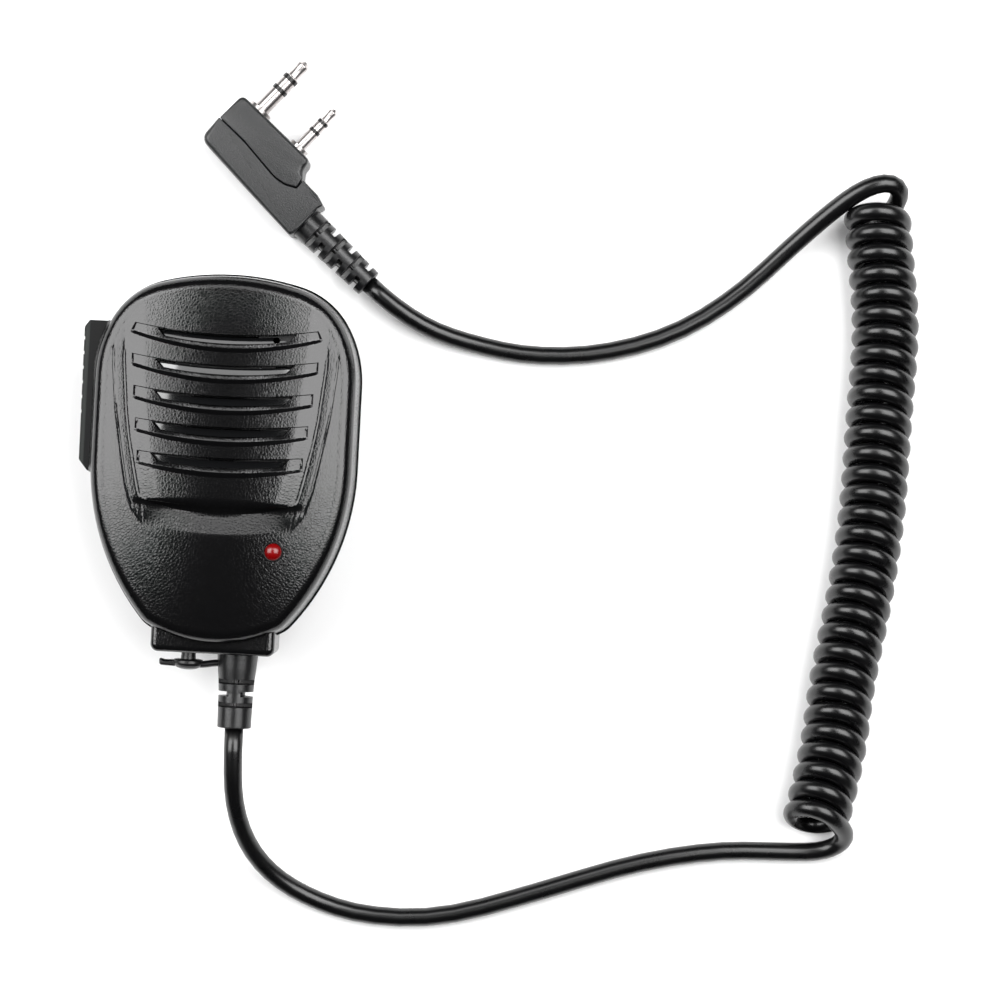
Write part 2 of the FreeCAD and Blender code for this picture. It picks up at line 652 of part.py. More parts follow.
def case_screws():
    """Four screws that join the shells, driven from the back."""
    depth = "rear_depth - post_foot + cavity_height - 2.0"
    solids = [turned_screw(f"case_screw_{k}", x, y, "shell_back + post_foot - head_height",
                           "screw_head", "head_height", "screw_dia", depth)
              for k, (x, y) in enumerate(screw_spots(), start=1)]
    return group("case_screws", solids)


# ---- what is behind the grille -------------------------------------------------------

def grille_film():
    body = plate_body("grille_film",
                      box_points("0 - film_half", "film_half", "0 - film_low", "film_high"),
                      "film_upper - film_thick", "film_thick", [("mic_x", "mic_y", "0.7")])
    return body


def speaker():
    """Moving-coil speaker: gasket, basket, cone and magnet, hung under the film."""
    top = "film_upper - film_thick"
    outer = "speaker_dia / 2"
    round_body("speaker_gasket", ring_profile(f"{outer} - 2", outer, f"{top} - gasket_thick", top),
               "0", "speaker_y")
    under = f"{top} - gasket_thick"
    deep = f"{under} - basket_height"
    round_body("speaker_basket",
               [("magnet_dia / 2 + 4.8", under), (outer, under), (outer, f"{under} - 1"),
                (f"{outer} - 1.2", f"{under} - 1"), ("magnet_dia / 2 + 1.2", deep),
                ("magnet_dia / 2 - 2", deep), ("magnet_dia / 2 - 2", f"{deep} + 0.8"),
                ("magnet_dia / 2 + 1", f"{deep} + 0.8"), ("magnet_dia / 2 + 4.8", f"{under} - 0.8")],
               "0", "speaker_y")
    rim = "magnet_dia / 2 + 4.2"
    round_body("speaker_cone",
               [("0", f"{under} - 0.9"), ("4.2", f"{under} - 2.4"), (f"{rim} - 0.3", f"{under} + 0.2"),
                (f"{outer} - 2.1", f"{under} + 0.2"), (f"{outer} - 2.1", under), (rim, under),
                ("4.2", f"{under} - 2.7"), ("0", f"{under} - 1.2")],
               "0", "speaker_y")
    round_body("speaker_magnet",
               [("0", deep), ("magnet_dia / 2", deep), ("magnet_dia / 2", f"{deep} - magnet_height"),
                ("0", f"{deep} - magnet_height")],
               "0", "speaker_y")


def microphone_element():
    top = "film_upper - film_thick"
    inner = "mic_dia / 2"
    round_body("mic_boot",
               [("0.7", top), (f"{inner} + boot_wall", top),
                (f"{inner} + boot_wall", f"{top} - 0.6 - mic_height"),
                (inner, f"{top} - 0.6 - mic_height"), (inner, f"{top} - 0.6"),
                ("0.7", f"{top} - 0.6")],
               "mic_x", "mic_y")
    round_body("mic_capsule",
               [("0", f"{top} - 0.6"), (inner, f"{top} - 0.6"),
                (inner, f"{top} - 0.6 - mic_height"), ("0", f"{top} - 0.6 - mic_height")],
               "mic_x", "mic_y")


def lamp():
    """Red lamp: a domed lens with a flange, on two leads from the board."""
    tip = "parting + front_height - 0.6"
    radius = "(led_dia / 2)"
    body = round_body("led_lens",
                      [("0", f"{tip} - 5.4"), (f"{radius} + 0.15", f"{tip} - 5.4"),
                       (f"{radius} + 0.15", f"{tip} - 4.6"), (radius, f"{tip} - 4.6"),
                       (radius, f"{tip} - 0.9", f"({radius} ^ 2 + 0.81) / 1.8"), ("0", tip)],
                      "led_x", "0 - led_y")
    legs = [round_body(f"led_lead_{k}",
                       [("0", "board_upper"), ("0.25", "board_upper"),
                        ("0.25", f"{tip} - 5.4"), ("0", f"{tip} - 5.4")],
                       f"led_x + ({dx})", "0 - led_y")
            for k, dx in enumerate((-1.27, 1.27), start=1)]
    group("led_leads", legs)
    return body


# ---- board, switch and socket --------------------------------------------------------

def main_board():
    outline = [("0 - board_left", "0 - board_low"), ("0 - tongue_half", "0 - board_low"),
               ("0 - tongue_half", "0 - tongue_low"), ("tongue_half", "0 - tongue_low"),
               ("tongue_half", "0 - board_low"), ("board_right", "0 - board_low + 4"),
               ("board_right", "board_top"), ("0 - board_left", "board_top")]
    return plate_body("main_board", outline, "board_under", "board_thick")


def board_parts():
    """Amplifier chip, capacitors, resistors and the wire block, on top of the board."""
    blocks = [("audio_chip", -3.0, 3.0, -16.0, -11.0, 1.5), ("inductor", 4.5, 8.5, -19.0, -15.0, 2.0),
              ("wire_block", 1.0, 9.0, -33.5, -29.8, 3.4), ("resistor_a", -9.0, -7.0, -14.0, -12.8, 0.6),
              ("resistor_b", -9.0, -7.0, -11.0, -9.8, 0.6)]
    solids = [plate_body(name, box_points(*[str(v) for v in spot[:4]]), "board_upper", str(spot[4]))
              for name, *spot in blocks]
    for name, x, y in (("capacitor_a", "13.5", "18.5"), ("capacitor_b", "-15.0", "-15.0")):
        solids.append(round_body(name, [("0", "board_upper"), ("2.5", "board_upper"),
                                        ("2.5", "board_upper + 5.4"), ("0", "board_upper + 5.4")],
                                 x, y))
    return group("board_components", solids)


def talk_switch():
    """Side-push switch on the board's left edge, bored for its plunger."""
    height = "(parting - board_upper + 2.6)"
    body = plate_body("talk_switch",
                      box_points("0 - board_left", "switch_size - 1.5 - board_left",
                                 "switch_y - switch_size / 2", "switch_y + switch_size / 2"),
                      "board_upper", height)
    sk = new_sketch(body, "plunger_bore", "YZ_Plane", "0 - board_left")
    circle(sk, "switch_y", "parting", "plunger_dia / 2 + plunger_gap")
    pocket(body, "plunger_bore_cut", sk, "2.8", Reversed=True)
    plunger = new_body("talk_switch_plunger")
    rod = new_sketch(plunger, "plunger_section", "YZ_Plane", "0 - button_in")
    circle(rod, "switch_y", "parting", "plunger_dia / 2")
    pad(plunger, "plunger_rod", rod, "button_in - board_left + 1.4")
    return body


def talk_button():
    """Talk button: a ribbed bar in the left wall, kept in by two lips."""
    body = new_body("talk_button")
    sk = new_sketch(body, "button_outline", height="parting - button_height / 2")
    loop(sk, [("0 - button_in", "0 - button_low"), ("0 - button_in", "button_high"),
              ("1.2 - button_out", "button_high"), ("0 - button_out", "button_high - 1.6"),
              ("0.2 - button_out", "2.4 - button_low"), ("2.2 - button_out", "0 - button_low")])
    pad(body, "button_bar", sk, "button_height")
    dress(body, "Fillet", "button_rounds", "1.0",
          lambda e: e.BoundBox.XMax < -number("button_out") + 0.5 and e.BoundBox.YLength > 10)
    ribs = new_sketch(body, "rib_gaps", height="parting + button_height / 2 + 1")
    for k in range(6):
        y = f"9.2 + {k} * 3.1"
        loop(ribs, [("0 - button_out - 1", y), ("0.3 - button_out", y),
                    ("0.3 - button_out", f"{y} + 0.7"), ("0 - button_out - 1", f"{y} + 0.7")])
    pocket(body, "rib_gap_cuts", ribs, "button_height + 2")
    lips = new_sketch(body, "lip_outline", height="parting - button_height / 2 - 1.2")
    box_loop(lips, "0 - button_in - 1.0", "0 - button_in", "0.6 - button_low", "lip_high")
    pad(body, "button_lips", lips, "button_height + 2.4")
    return body


def earphone_jack():
    """Socket on the board's tongue, its barrel reaching into the neck."""
    low = "0 - neck_y + neck_wall + 0.2"
    body = plate_body("earphone_jack",
                      box_points("0 - jack_x - jack_wide / 2 + 0.4", "jack_wide / 2 - 0.4 - jack_x",
                                 low, f"{low} + jack_length"),
                      "board_upper", "exit_z - board_upper + 2.8")
    sk = new_sketch(body, "socket_bore_section", "XZ_Plane", f"0 - ({low}) + 1")
    circle(sk, "0 - jack_x", "exit_z", "jack_bore / 2")
    pocket(body, "socket_bore", sk, "jack_length")
    return body


def dust_cap():
    """Rubber plug of the socket: stem, domed head, pull tab and strap lug, about Y."""
    head = "0 - neck_y - cap_out"
    radius = "cap_head / 2"
    body = round_body("dust_cap",
                      [("0", "0 - cap_out - cap_reach"), ("cap_stem / 2 - 0.4", "0 - cap_out - cap_reach"),
                       ("cap_stem / 2", "0.4 - cap_out - cap_reach"), ("cap_stem / 2", "0"),
                       (radius, "0"), (radius, "cap_thick - 0.8"),
                       (f"{radius} - 1.2", "cap_thick", ), ("0", "cap_thick")],
                      "0 - jack_x", head, "exit_z", axis=(1, 0, 0), turn=90.0)
    arms = new_sketch(body, "cap_arms", "XZ_Plane", "0 - 1.3")
    box_loop(arms, f"0 - {radius} - tab_length", f"{radius} + 0.2", "0.05", "cap_thick - 0.05")
    pad(body, "cap_arm_bar", arms, "2.6")
    return body


def dust_cap_strap():
    """Strap from the cap to the strain relief's collar."""
    y = "0 - neck_y - cap_out"
    left = "cap_head / 2 + 0.2 - jack_x"
    return plate_body("dust_cap_strap",
                      box_points(left, "exit_x - relief_dia / 2 + 0.5", f"{y} - cap_thick + 0.05",
                                 f"{y} - 0.05"),
                      "exit_z - 1.3", "2.6")


def relief(name, stem, wide, narrow, length, slots, foot):
    """Strain relief about its own Z: foot inside, tapered sleeve outside, crossed slots."""
    profile = [("0", foot)]
    profile += stem
    profile += [(f"{wide} / 2", "0"), (f"{wide} / 2", f"{length} * 0.25"),
                (f"{narrow} / 2", f"{length} * 0.7"), (f"{narrow} / 2", length), ("0", length)]
    body = round_body(name, profile)
    for k, (at, width, deep, cross) in enumerate(slots):
        sk = new_sketch(body, f"{name}_slot_{k}", "XZ_Plane" if cross else "YZ_Plane")
        for sign in ("", "0 - "):
            near, far = f"{sign}({narrow} / 2 - {deep})", f"{sign}({wide} / 2 + 1)"
            points = [(near, f"{at} - {width} / 2"), (far, f"{at} - {width} / 2"),
                      (far, f"{at} + {width} / 2"), (near, f"{at} + {width} / 2")]
            loop(sk, points if sign == "" else points[::-1])
        add(body, "Pocket", f"{name}_slot_cut_{k}", sk, Length=FAR, Midplane=True)
    return body


def mic_strain_relief():
    seat = "0 - neck_wall / 2 - relief_gap"
    stem = [("2.6", "0 - neck_wall - 1.6"), ("2.6", f"{seat} - flange_thick"),
            ("flange_dia / 2", f"{seat} - flange_thick"), ("flange_dia / 2", seat),
            ("stem_dia / 2", seat), ("stem_dia / 2", "0")]
    body = relief("mic_strain_relief", stem, "relief_dia", "relief_end_dia", "relief_length",
                  [("5.7", "0.8", "1.5", False), ("8.2", "1.1", "1.7", True),
                   ("10.7", "0.8", "1.5", False)], "0 - neck_wall - 1.6")
    place(body, "exit_x", "0 - neck_y - relief_gap", "exit_z", axis=(1, 0, 0), turn=90.0)
    return body


def inner_wires():
    """Four wires from the cord to the wire block."""
    solids = []
    for k, dx in enumerate((-1.5, -0.5, 0.5, 1.5), start=1):
        wire = new_body(f"wire_{k}")
        sk = new_sketch(wire, f"wire_section_{k}", "XZ_Plane", "neck_y + relief_gap - neck_wall - 1.6")
        circle(sk, f"exit_x + ({dx})", "exit_z", "0.45")
        pad(wire, f"wire_run_{k}", sk, "neck_y + relief_gap - neck_wall - 1.6 - 33.5", Reversed=True)
        solids.append(wire)
    return group("inner_wires", solids)


# ---- swivel clip ---------------------------------------------------------------------

def ear(body, name, x_in, x_out, z_to):
    """Two round-ended lugs that carry the hinge pin, from the pin to a plate."""
    up = number(z_to) > number("pin_z")
    sk = new_sketch(body, f"{name}_section", "YZ_Plane", x_in)
    left, right = "pin_y - ear_round", "pin_y + ear_round"
    if up:
        points = [(left, "pin_z", "ear_round"), ("pin_y", "pin_z - ear_round", "ear_round"),
                  (right, "pin_z"), (right, z_to), (left, z_to)]
    else:
        points = [(right, "pin_z", "ear_round"), ("pin_y", "pin_z + ear_round", "ear_round"),
                  (left, "pin_z"), (left, z_to), (right, z_to)]
    loop(sk, points)
    first = pad(body, f"{name}_right", sk, f"{x_out} - {x_in}")
    mirror = body.newObject("PartDesign::Mirrored", f"{name}_pair")
    mirror.Originals = [first]
    mirror.MirrorPlane = (next(f for f in body.Origin.OriginFeatures if f.Role == "YZ_Plane"), [""])
    body.Tip = mirror


def pin_bore(body, name, radius):
    sk = new_sketch(body, f"{name}_bore_section", "YZ_Plane")
    circle(sk, "pin_y", "pin_z", radius)
    add(body, "Pocket", f"{name}_bore", sk, Length=FAR, Midplane=True)


def clip_base():
    """Swivel plate on the rear shell, with the hinge ears of the clip."""
    body = new_body("clip_base")
    sk = new_sketch(body, "clip_base_outline", height="base_under")
    box_loop(sk, "0 - base_half", "base_half", "0 - base_low", "base_high")
    pad(body, "clip_base_plate", sk, "base_thick")
    dress(body, "Fillet", "clip_base_corners", "3.0", upright_edge)
    ear(body, "base_ear", "ear_in", "ear_out", "base_under + 0.1")
    pin_bore(body, "base", "pin_dia / 2 + 0.02")
    sink = new_sketch(body, "swivel_sink", height="base_under - 1")
    circle(sink, "0", "swivel_y", "swivel_head / 2 + 0.2")
    pocket(body, "swivel_sink_cut", sink, "head_thick + 1", Reversed=True)
    bore = new_sketch(body, "swivel_hole", height="base_under - 1")
    circle(bore, "0", "swivel_y", "swivel_dia / 2 + fit_gap")
    pocket(body, "swivel_hole_cut", bore, "base_thick + 3", Reversed=True)
    return body


def clip_screw():
    """Shoulder screw that the clip turns on."""
    low = "base_under + head_thick - 0.1 - 1.3"
    head = "base_under + head_thick - 0.1"
    return round_body("clip_swivel_screw",
                      [("1.3", low), ("swivel_head / 2 - 0.3", low),
                       ("swivel_head / 2", f"{low} + 0.3"), ("swivel_head / 2", head),
                       ("swivel_dia / 2", head), ("swivel_dia / 2", "shell_back"),
                       ("screw_dia / 2 + 0.25", "shell_back"),
                       ("screw_dia / 2 + 0.25", "board_under - 1.6"), ("0", "board_under - 1.6"),
                       ("0", f"{low} + 0.7"), ("1.3", f"{low} + 0.7")],
                      "0", "swivel_y")


def clip_washer():
    return round_body("clip_washer",
                      ring_profile("swivel_dia / 2 + 0.1", "swivel_dia / 2 + 5",
                                   "shell_back - 0.3", "shell_back"),
                      "0", "swivel_y")


def clip_arm():
    """Spring clip arm: a flat plate with hinge ears, a toothed toe and a thumb grip."""
    body = new_body("clip_arm")
    sk = new_sketch(body, "clip_arm_outline")
    box_loop(sk, "0 - arm_half", "arm_half", "0 - arm_low", "arm_high")
    pad(body, "clip_arm_plate", sk, "arm_thick")
    dress(body, "Fillet", "clip_arm_corners", "3.0", upright_edge)
    toe = new_sketch(body, "clip_toe_section", "YZ_Plane")
    reach = "shell_back - toe_gap"
    foot = "arm_thick - 0.1"
    loop(toe, [("0 - arm_low + 0.6", foot), ("0 - arm_low + 0.6 + toe_length", foot),
               ("0 - arm_low + 2.6", reach), ("0 - arm_low + 1.2", reach)])
    pad(body, "clip_toe", toe, "arm_half * 2 - 5", Midplane=True)
    ear(body, "arm_ear", "arm_ear_in", "arm_ear_out", "arm_thick - 0.1")
    pin_bore(body, "arm", "pin_dia / 2 + fit_gap")
    grip = new_sketch(body, "thumb_grooves", "YZ_Plane")
    for k in range(4):
        y = f"arm_high - 2.2 - {k} * 1.8"
        loop(grip, [(y, "0 - 1"), (f"{y} + 0.9", "0 - 1"), (f"{y} + 0.9", "0.5"), (y, "0.5")])
    add(body, "Pocket", "thumb_groove_cuts", grip, Length=9.0, Midplane=True)
    return body


def clip_pin():
    body = new_body("clip_pin")
    sk = new_sketch(body, "clip_pin_section", "YZ_Plane")
    circle(sk, "pin_y", "pin_z", "pin_dia / 2")
    pad(body, "clip_pin_rod", sk, "ear_out * 2", Midplane=True)
    return body


def clip_spring():
    """Torsion spring round the pin, as a sleeve with its two legs."""
    body = new_body("clip_spring")
    sk = new_sketch(body, "spring_section", "YZ_Plane")
    circle(sk, "pin_y", "pin_z", "spring_dia / 2")
    pad(body, "spring_coils", sk, "arm_ear_in * 2 - 0.8", Midplane=True)
    for name, x, z in (("spring_leg_base", "2.4", "base_under - spring_wire - 0.05"),
                       ("spring_leg_arm", "0 - 2.4 - spring_wire", "arm_thick + 0.25")):
        leg = new_sketch(body, f"{name}_outline", height=z)
        box_loop(leg, x, f"{x} + spring_wire", "pin_y - 3.4", "pin_y")
        pad(body, name, leg, "spring_wire")
    bore = new_sketch(body, "spring_bore_section", "YZ_Plane")
    circle(bore, "pin_y", "pin_z", "spring_dia / 2 - spring_wire")
    add(body, "Pocket", "spring_bore", bore, Length=FAR, Midplane=True)
    return body


# ---- cord ----------------------------------------------------------------------------

def rounded_path(points, name):
    """Straight runs joined by tangent arcs; prints the arcs' radii."""
    spots = [Vector(*p) for p in points]
    start, edges, radii = spots[0], [], []
    for before, corner, after in zip(spots, spots[1:], spots[2:]):
        back, ahead = before - corner, after - corner
        turn = math.pi - back.getAngle(ahead)
        shorter = min(back.Length, ahead.Length)
        radius = 0.45 * shorter / math.tan(turn / 2)
        first = corner + Vector(back).normalize() * (0.45 * shorter)
        last = corner + Vector(ahead).normalize() * (0.45 * shorter)
        inward = (Vector(back).normalize() + Vector(ahead).normalize()).normalize()
        depth = radius / math.cos(turn / 2) - radius
        edges.append(Part.LineSegment(start, first).toShape())
        edges.append(Part.Arc(first, corner + inward * depth, last).toShape())
        start = last
        radii.append(radius)
    edges.append(Part.LineSegment(start, spots[-1]).toShape())
    print(name, "bend radii:", [round(r, 1) for r in radii])
    return Part.Wire(edges)


def tube(name, points, diameter):
    """A round tube along a route, as a solid of its own."""
    radius = number(diameter) / 2
    path = rounded_path(points, name)
    start, ahead = Vector(*points[0]), Vector(*points[1]) - Vector(*points[0])
    ring = Part.Wire(Part.Circle(start, ahead, radius).toShape())
    solid = path.makePipeShell([ring], True, True)
    section = math.pi * radius * radius
    ratio = solid.Volume / (section * path.Length)
    print(name, "length", round(path.Length, 1), "volume ratio", round(ratio, 4))
    if abs(ratio - 1) > 0.02:
        raise RuntimeError(f"{name}: the tube's volume is wrong")
    feature = doc.addObject("Part::Feature", name)
    feature.Label = name
    feature.Shape = solid
    return feature


# ---- two-pin plug --------------------------------------------------------------------

def set_plug(body):
    place(body, "plug_x", "plug_y", "0", turn=number("plug_turn"))


def plug_shells():
    """Front block with the pins and rear cover with the cord's neck, split along a seam."""
    front = new_body("plug_front_block")
    sk = new_sketch(front, "front_block_outline")
    face = "0 - flange_rise"
    seam = [("0 - block_left", "0 - seam_v"), ("3.0", "0 - seam_v"),
            ("13.0", "0 - seam_v - seam_dip"), ("seam_end_u", "0 - seam_end_v"),
            ("seam_end_u - 0.4", "0 - plug_waist_v")]
    loop(sk, seam + [("block_right", "1.6 - plug_waist_v"), ("block_right - 0.4", f"{face} - 1.0"),
                     ("block_right - 1.8", face), ("1.2 - block_left", face),
                     ("0 - block_left", f"{face} - 1.2")])
    pad(front, "front_block", sk, "plug_thick")
    dress(front, "Fillet", "front_block_rounds", "1.0",
          lambda e: e.BoundBox.ZLength < 0.01 and e.BoundBox.YMin > -number("seam_v") + 2.5)
    set_plug(front)
    rear = new_body("plug_rear_cover")
    sk = new_sketch(rear, "rear_cover_outline")
    loop(sk, [("0 - block_left", "0 - seam_v"), ("0 - block_left", "2.4 - plug_back", "2.4"),
              ("2.4 - block_left", "0 - plug_back"),
              ("plug_neck - 0.6", "0 - plug_back - back_slope"),
              ("plug_neck", "0.8 - plug_back - back_slope"), ("plug_neck", "0 - neck_top_v - 1.0"),
              ("plug_neck + 0.4", "0 - neck_top_v"), ("plug_neck - 2.1", "0.8 - neck_top_v")]
         + seam[:0:-1])
    pad(rear, "rear_cover", sk, "plug_thick")
    set_plug(rear)
    return front, rear


# Where a pin's sleeve, collar, ring and collar end, then its tip's straight part, waist and
# bulge, as shares of the pin's length.
PIN_SHARES = (0.0, 0.38, 0.44, 0.61, 0.67)
TIP_SHARES = (0.70, 0.84, 0.90)


def pin_pieces(name, u, dia, length):
    """One three-contact pin: flange, sleeve, ring and tip with two insulators between."""
    r = f"{dia} / 2"
    marks = [f"{length} * {share}" for share in PIN_SHARES]
    spans = {"sleeve": (marks[0], marks[1]), "ring": (marks[2], marks[3])}
    for part, (low, high) in spans.items():
        stand_pin(f"{name}_{part}", [("0", low), (r, low), (r, high), ("0", high)], u)
    collars = [stand_pin(f"{name}_collar_{k}", [("0", low), (f"{r} - 0.02", low),
                                                (f"{r} - 0.02", high), ("0", high)], u)
               for k, (low, high) in enumerate(((marks[1], marks[2]), (marks[3], marks[4])))]
    group(f"{name}_insulators", collars)
    low = marks[4]
    stand_pin(f"{name}_tip",
              [("0", low), (r, low), (r, f"{length} * {TIP_SHARES[0]}"),
               (f"{r} * 0.72", f"{length} * {TIP_SHARES[1]}"),
               (f"{r} * 0.95", f"{length} * {TIP_SHARES[2]}"),
               (f"{r} * 0.35", length), ("0", length)], u)
    return stand_pin(f"{name}_flange", [("0", "0 - flange_rise"), (f"{r} + 1.05", "0 - flange_rise"),
                                        (f"{r} + 1.05", "0"), ("0", "0")], u)


def lay_on_plug(body, u, v, direction):
    """Puts a turned piece at a spot of the plug's frame, its axis in the given direction."""
    angle = math.radians(number(direction))
    body.Placement = Placement(Vector(), Rotation(Vector(0, 0, 1),
                                                  Vector(math.cos(angle), math.sin(angle), 0)))
    c, s = "cos(plug_turn * 1 deg)", "sin(plug_turn * 1 deg)"
    bind(body, ".Placement.Base.x", f"plug_x + ({u}) * {c} - ({v}) * {s}")
    bind(body, ".Placement.Base.y", f"plug_y + ({u}) * {s} + ({v}) * {c}")
    bind(body, ".Placement.Base.z", "plug_thick / 2")


def stand_pin(name, profile, u):
    """A piece turned about a pin's axis."""
    body = round_body(name, profile)
    lay_on_plug(body, u, "0", "plug_turn + 90")
    return body


def plug_strain_relief():
    body = relief("plug_strain_relief", [], "plug_relief_dia", "plug_relief_end",
                  "plug_relief_length",
                  [(str(round(3.8 + 2.6 * k, 1)), "1.2", "1.4", k % 2 == 0) for k in range(6)], "0")
    lay_on_plug(body, "plug_neck - relief_sunk", "0 - plug_axis_v", "plug_turn")
    return body


# ---- the whole part ------------------------------------------------------------------

def build():
    front_shell()
    rear_shell()
    case_screws()
    grille_film()
    speaker()
    microphone_element()
    lamp()
    main_board()
    board_parts()
    talk_switch()
    talk_button()
    earphone_jack()
    dust_cap()
    dust_cap_strap()
    mic_strain_relief()
    inner_wires()
    clip_base()
    clip_screw()
    clip_washer()
    clip_arm()
    clip_pin()
    clip_spring()
    tube("mic_lead", MIC_LEAD, "cord_dia")
    tube("curly_cord", COIL_LINE, "coil_dia")
    tube("plug_lead", PLUG_LEAD, "cord_dia")
    plug_shells()
    pin_pieces("big_pin", "0", "big_pin", "big_length")
    pin_pieces("small_pin", "pin_gap", "small_pin", "small_length")
    plug_strain_relief()


def sub_parts():
    """Every node: bodies, groups and plain features that no group holds."""
    grouped = {o.Name for node in doc.Objects if node.TypeId == "Part::Compound" for o in node.Links}
    kinds = ("PartDesign::Body", "Part::Compound", "Part::Feature")
    return [o for o in doc.Objects if o.TypeId in kinds and o.Name not in grouped]


def check_and_export():
    doc.recompute()
    bad = [o.Name for o in doc.Objects if "Invalid" in o.State or "Error" in o.State]
    nodes = sub_parts()
    bad += [o.Label for o in nodes if o.Shape.isNull() or not o.Shape.isValid() or not o.Shape.Solids]
    if bad:
        raise RuntimeError(f"failed: {bad}")
    os.makedirs("parts", exist_ok=True)
    for node in nodes:
        node.Shape.exportStep(f"parts/{node.Label}.step")
        print(node.Label, len(node.Shape.Solids), "solids", round(node.Shape.Volume, 1), "mm3")
    print(len(nodes), "nodes")


build()
check_and_export()
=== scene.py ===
import json
import math

import bpy
import numpy as np
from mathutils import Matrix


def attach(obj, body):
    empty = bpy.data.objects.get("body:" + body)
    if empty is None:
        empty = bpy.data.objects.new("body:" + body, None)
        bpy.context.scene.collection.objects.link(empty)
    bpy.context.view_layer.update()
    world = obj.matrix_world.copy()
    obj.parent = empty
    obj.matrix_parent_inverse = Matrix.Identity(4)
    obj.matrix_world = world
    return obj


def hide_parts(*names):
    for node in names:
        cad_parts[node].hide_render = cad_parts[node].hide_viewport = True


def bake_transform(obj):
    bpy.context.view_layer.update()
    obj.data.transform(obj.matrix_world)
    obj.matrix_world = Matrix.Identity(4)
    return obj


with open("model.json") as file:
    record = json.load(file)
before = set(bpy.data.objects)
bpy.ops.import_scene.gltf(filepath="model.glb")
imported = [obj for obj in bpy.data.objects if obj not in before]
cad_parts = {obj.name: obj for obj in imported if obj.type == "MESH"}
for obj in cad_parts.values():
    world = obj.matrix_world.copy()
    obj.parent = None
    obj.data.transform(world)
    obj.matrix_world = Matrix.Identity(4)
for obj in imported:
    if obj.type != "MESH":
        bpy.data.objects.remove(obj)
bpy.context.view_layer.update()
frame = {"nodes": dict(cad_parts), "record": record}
nodes = frame["nodes"]
print("frame loaded:", len(nodes), "nodes")

mm = 0.001


# ---- small tools ----

# The corner numbers round a grid's border, anticlockwise.
def rimOf(index):
    return np.concatenate([index[0, :-1], index[:-1, -1], index[-1, :0:-1], index[:0:-1, 0]])


# Turns a grid of points, rows by columns, into a mesh object of quads; wrap joins the last
# column to the first, and each cap closes an end row with one flat n-sided face.
def gridPiece(name, points, wrap=False, caps=(False, False)):
    rows, cols = points.shape[:2]
    index = np.arange(rows * cols).reshape(rows, cols)
    left = index if wrap else index[:, :-1]
    right = np.roll(index, -1, axis=1) if wrap else index[:, 1:]
    quads = np.stack([left[:-1], right[:-1], right[1:], left[1:]], axis=-1).reshape(-1, 4)
    faces = quads.tolist()
    if caps[0]:
        faces.append(index[0, ::-1].tolist())
    if caps[1]:
        faces.append(index[-1].tolist())
    piece = meshPiece(name, points.reshape(-1, 3), faces)
    flags = np.arange(len(faces)) < len(quads)
    piece.data.polygons.foreach_set("use_smooth", flags)
    return piece


# Makes an object at the origin from points in metres and lists of corner numbers.
def meshPiece(name, points, faces, smooth=True):
    mesh = bpy.data.meshes.new(name)
    mesh.from_pydata(np.asarray(points, dtype=float).tolist(), [], faces)
    mesh.polygons.foreach_set("use_smooth", [smooth] * len(mesh.polygons))
    mesh.update()
    piece = bpy.data.objects.new(name, mesh)
    bpy.context.scene.collection.objects.link(piece)
    return piece


# Gives a piece its body and its finish in one go.
def dressPiece(piece, body, material):
    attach(piece, body)
    piece.data.materials.clear()
    piece.data.materials.append(material)
    return piece


# Reads the points of a NURBS spline of order 3 that has these control points.
def splinePoints(name, controls, resolution):
    curve = bpy.data.curves.new(name, "CURVE")
    curve.dimensions = "3D"
    curve.resolution_u = resolution
    spline = curve.splines.new("NURBS")
    spline.points.add(len(controls) - 1)
    flat = np.column_stack([controls, np.ones(len(controls))]).ravel()
    spline.points.foreach_set("co", flat)
    spline.order_u = 3
    spline.use_endpoint_u = True
    holder = bpy.data.objects.new(name, curve)
    bpy.context.scene.collection.objects.link(holder)
    bpy.context.view_layer.update()
    read = bpy.data.meshes.new_from_object(holder)
    points = np.empty(len(read.vertices) * 3)
    read.vertices.foreach_get("co", points)
    bpy.data.objects.remove(holder)
    return points.reshape(-1, 3)


# A tube: circles of the given radius stand across the path, each turned from the one before
# by the least rotation, which is the path's own bend.
def tubeGrid(path, radius, sides):
    along = np.gradient(path, axis=0)
    along /= np.linalg.norm(along, axis=1, keepdims=True)
    across = np.empty_like(path)
    first = np.cross(along[0], [0.0, 0.0, 1.0])
    if np.linalg.norm(first) < 0.1:
        first = np.cross(along[0], [1.0, 0.0, 0.0])
    across[0] = first / np.linalg.norm(first)
    for k in range(1, len(path)):
        carried = across[k - 1] - along[k] * (across[k - 1] @ along[k])
        across[k] = carried / np.linalg.norm(carried)
    other = np.cross(along, across)
    angle = np.linspace(0, 2 * math.pi, sides, endpoint=False)
    cosine, sine = np.cos(angle)[None, :, None], np.sin(angle)[None, :, None]
    return path[:, None] + radius * (across[:, None] * cosine + other[:, None] * sine)


# ---- camera ----

camera = {"spot": (58.98, -4.58, 650.0), "roll": 3.0, "lens": 106.6, "sensor": 36.0}
cameraData = bpy.data.cameras.new("camera")
cameraData.lens = camera["lens"]
cameraData.sensor_width = camera["sensor"]
cameraObject = bpy.data.objects.new("camera", cameraData)
cameraObject.location = [v * mm for v in camera["spot"]]
cameraObject.rotation_euler = (0, 0, math.radians(camera["roll"]))
bpy.context.scene.collection.objects.link(cameraObject)
bpy.context.scene.camera = cameraObject

# ---- cord ----

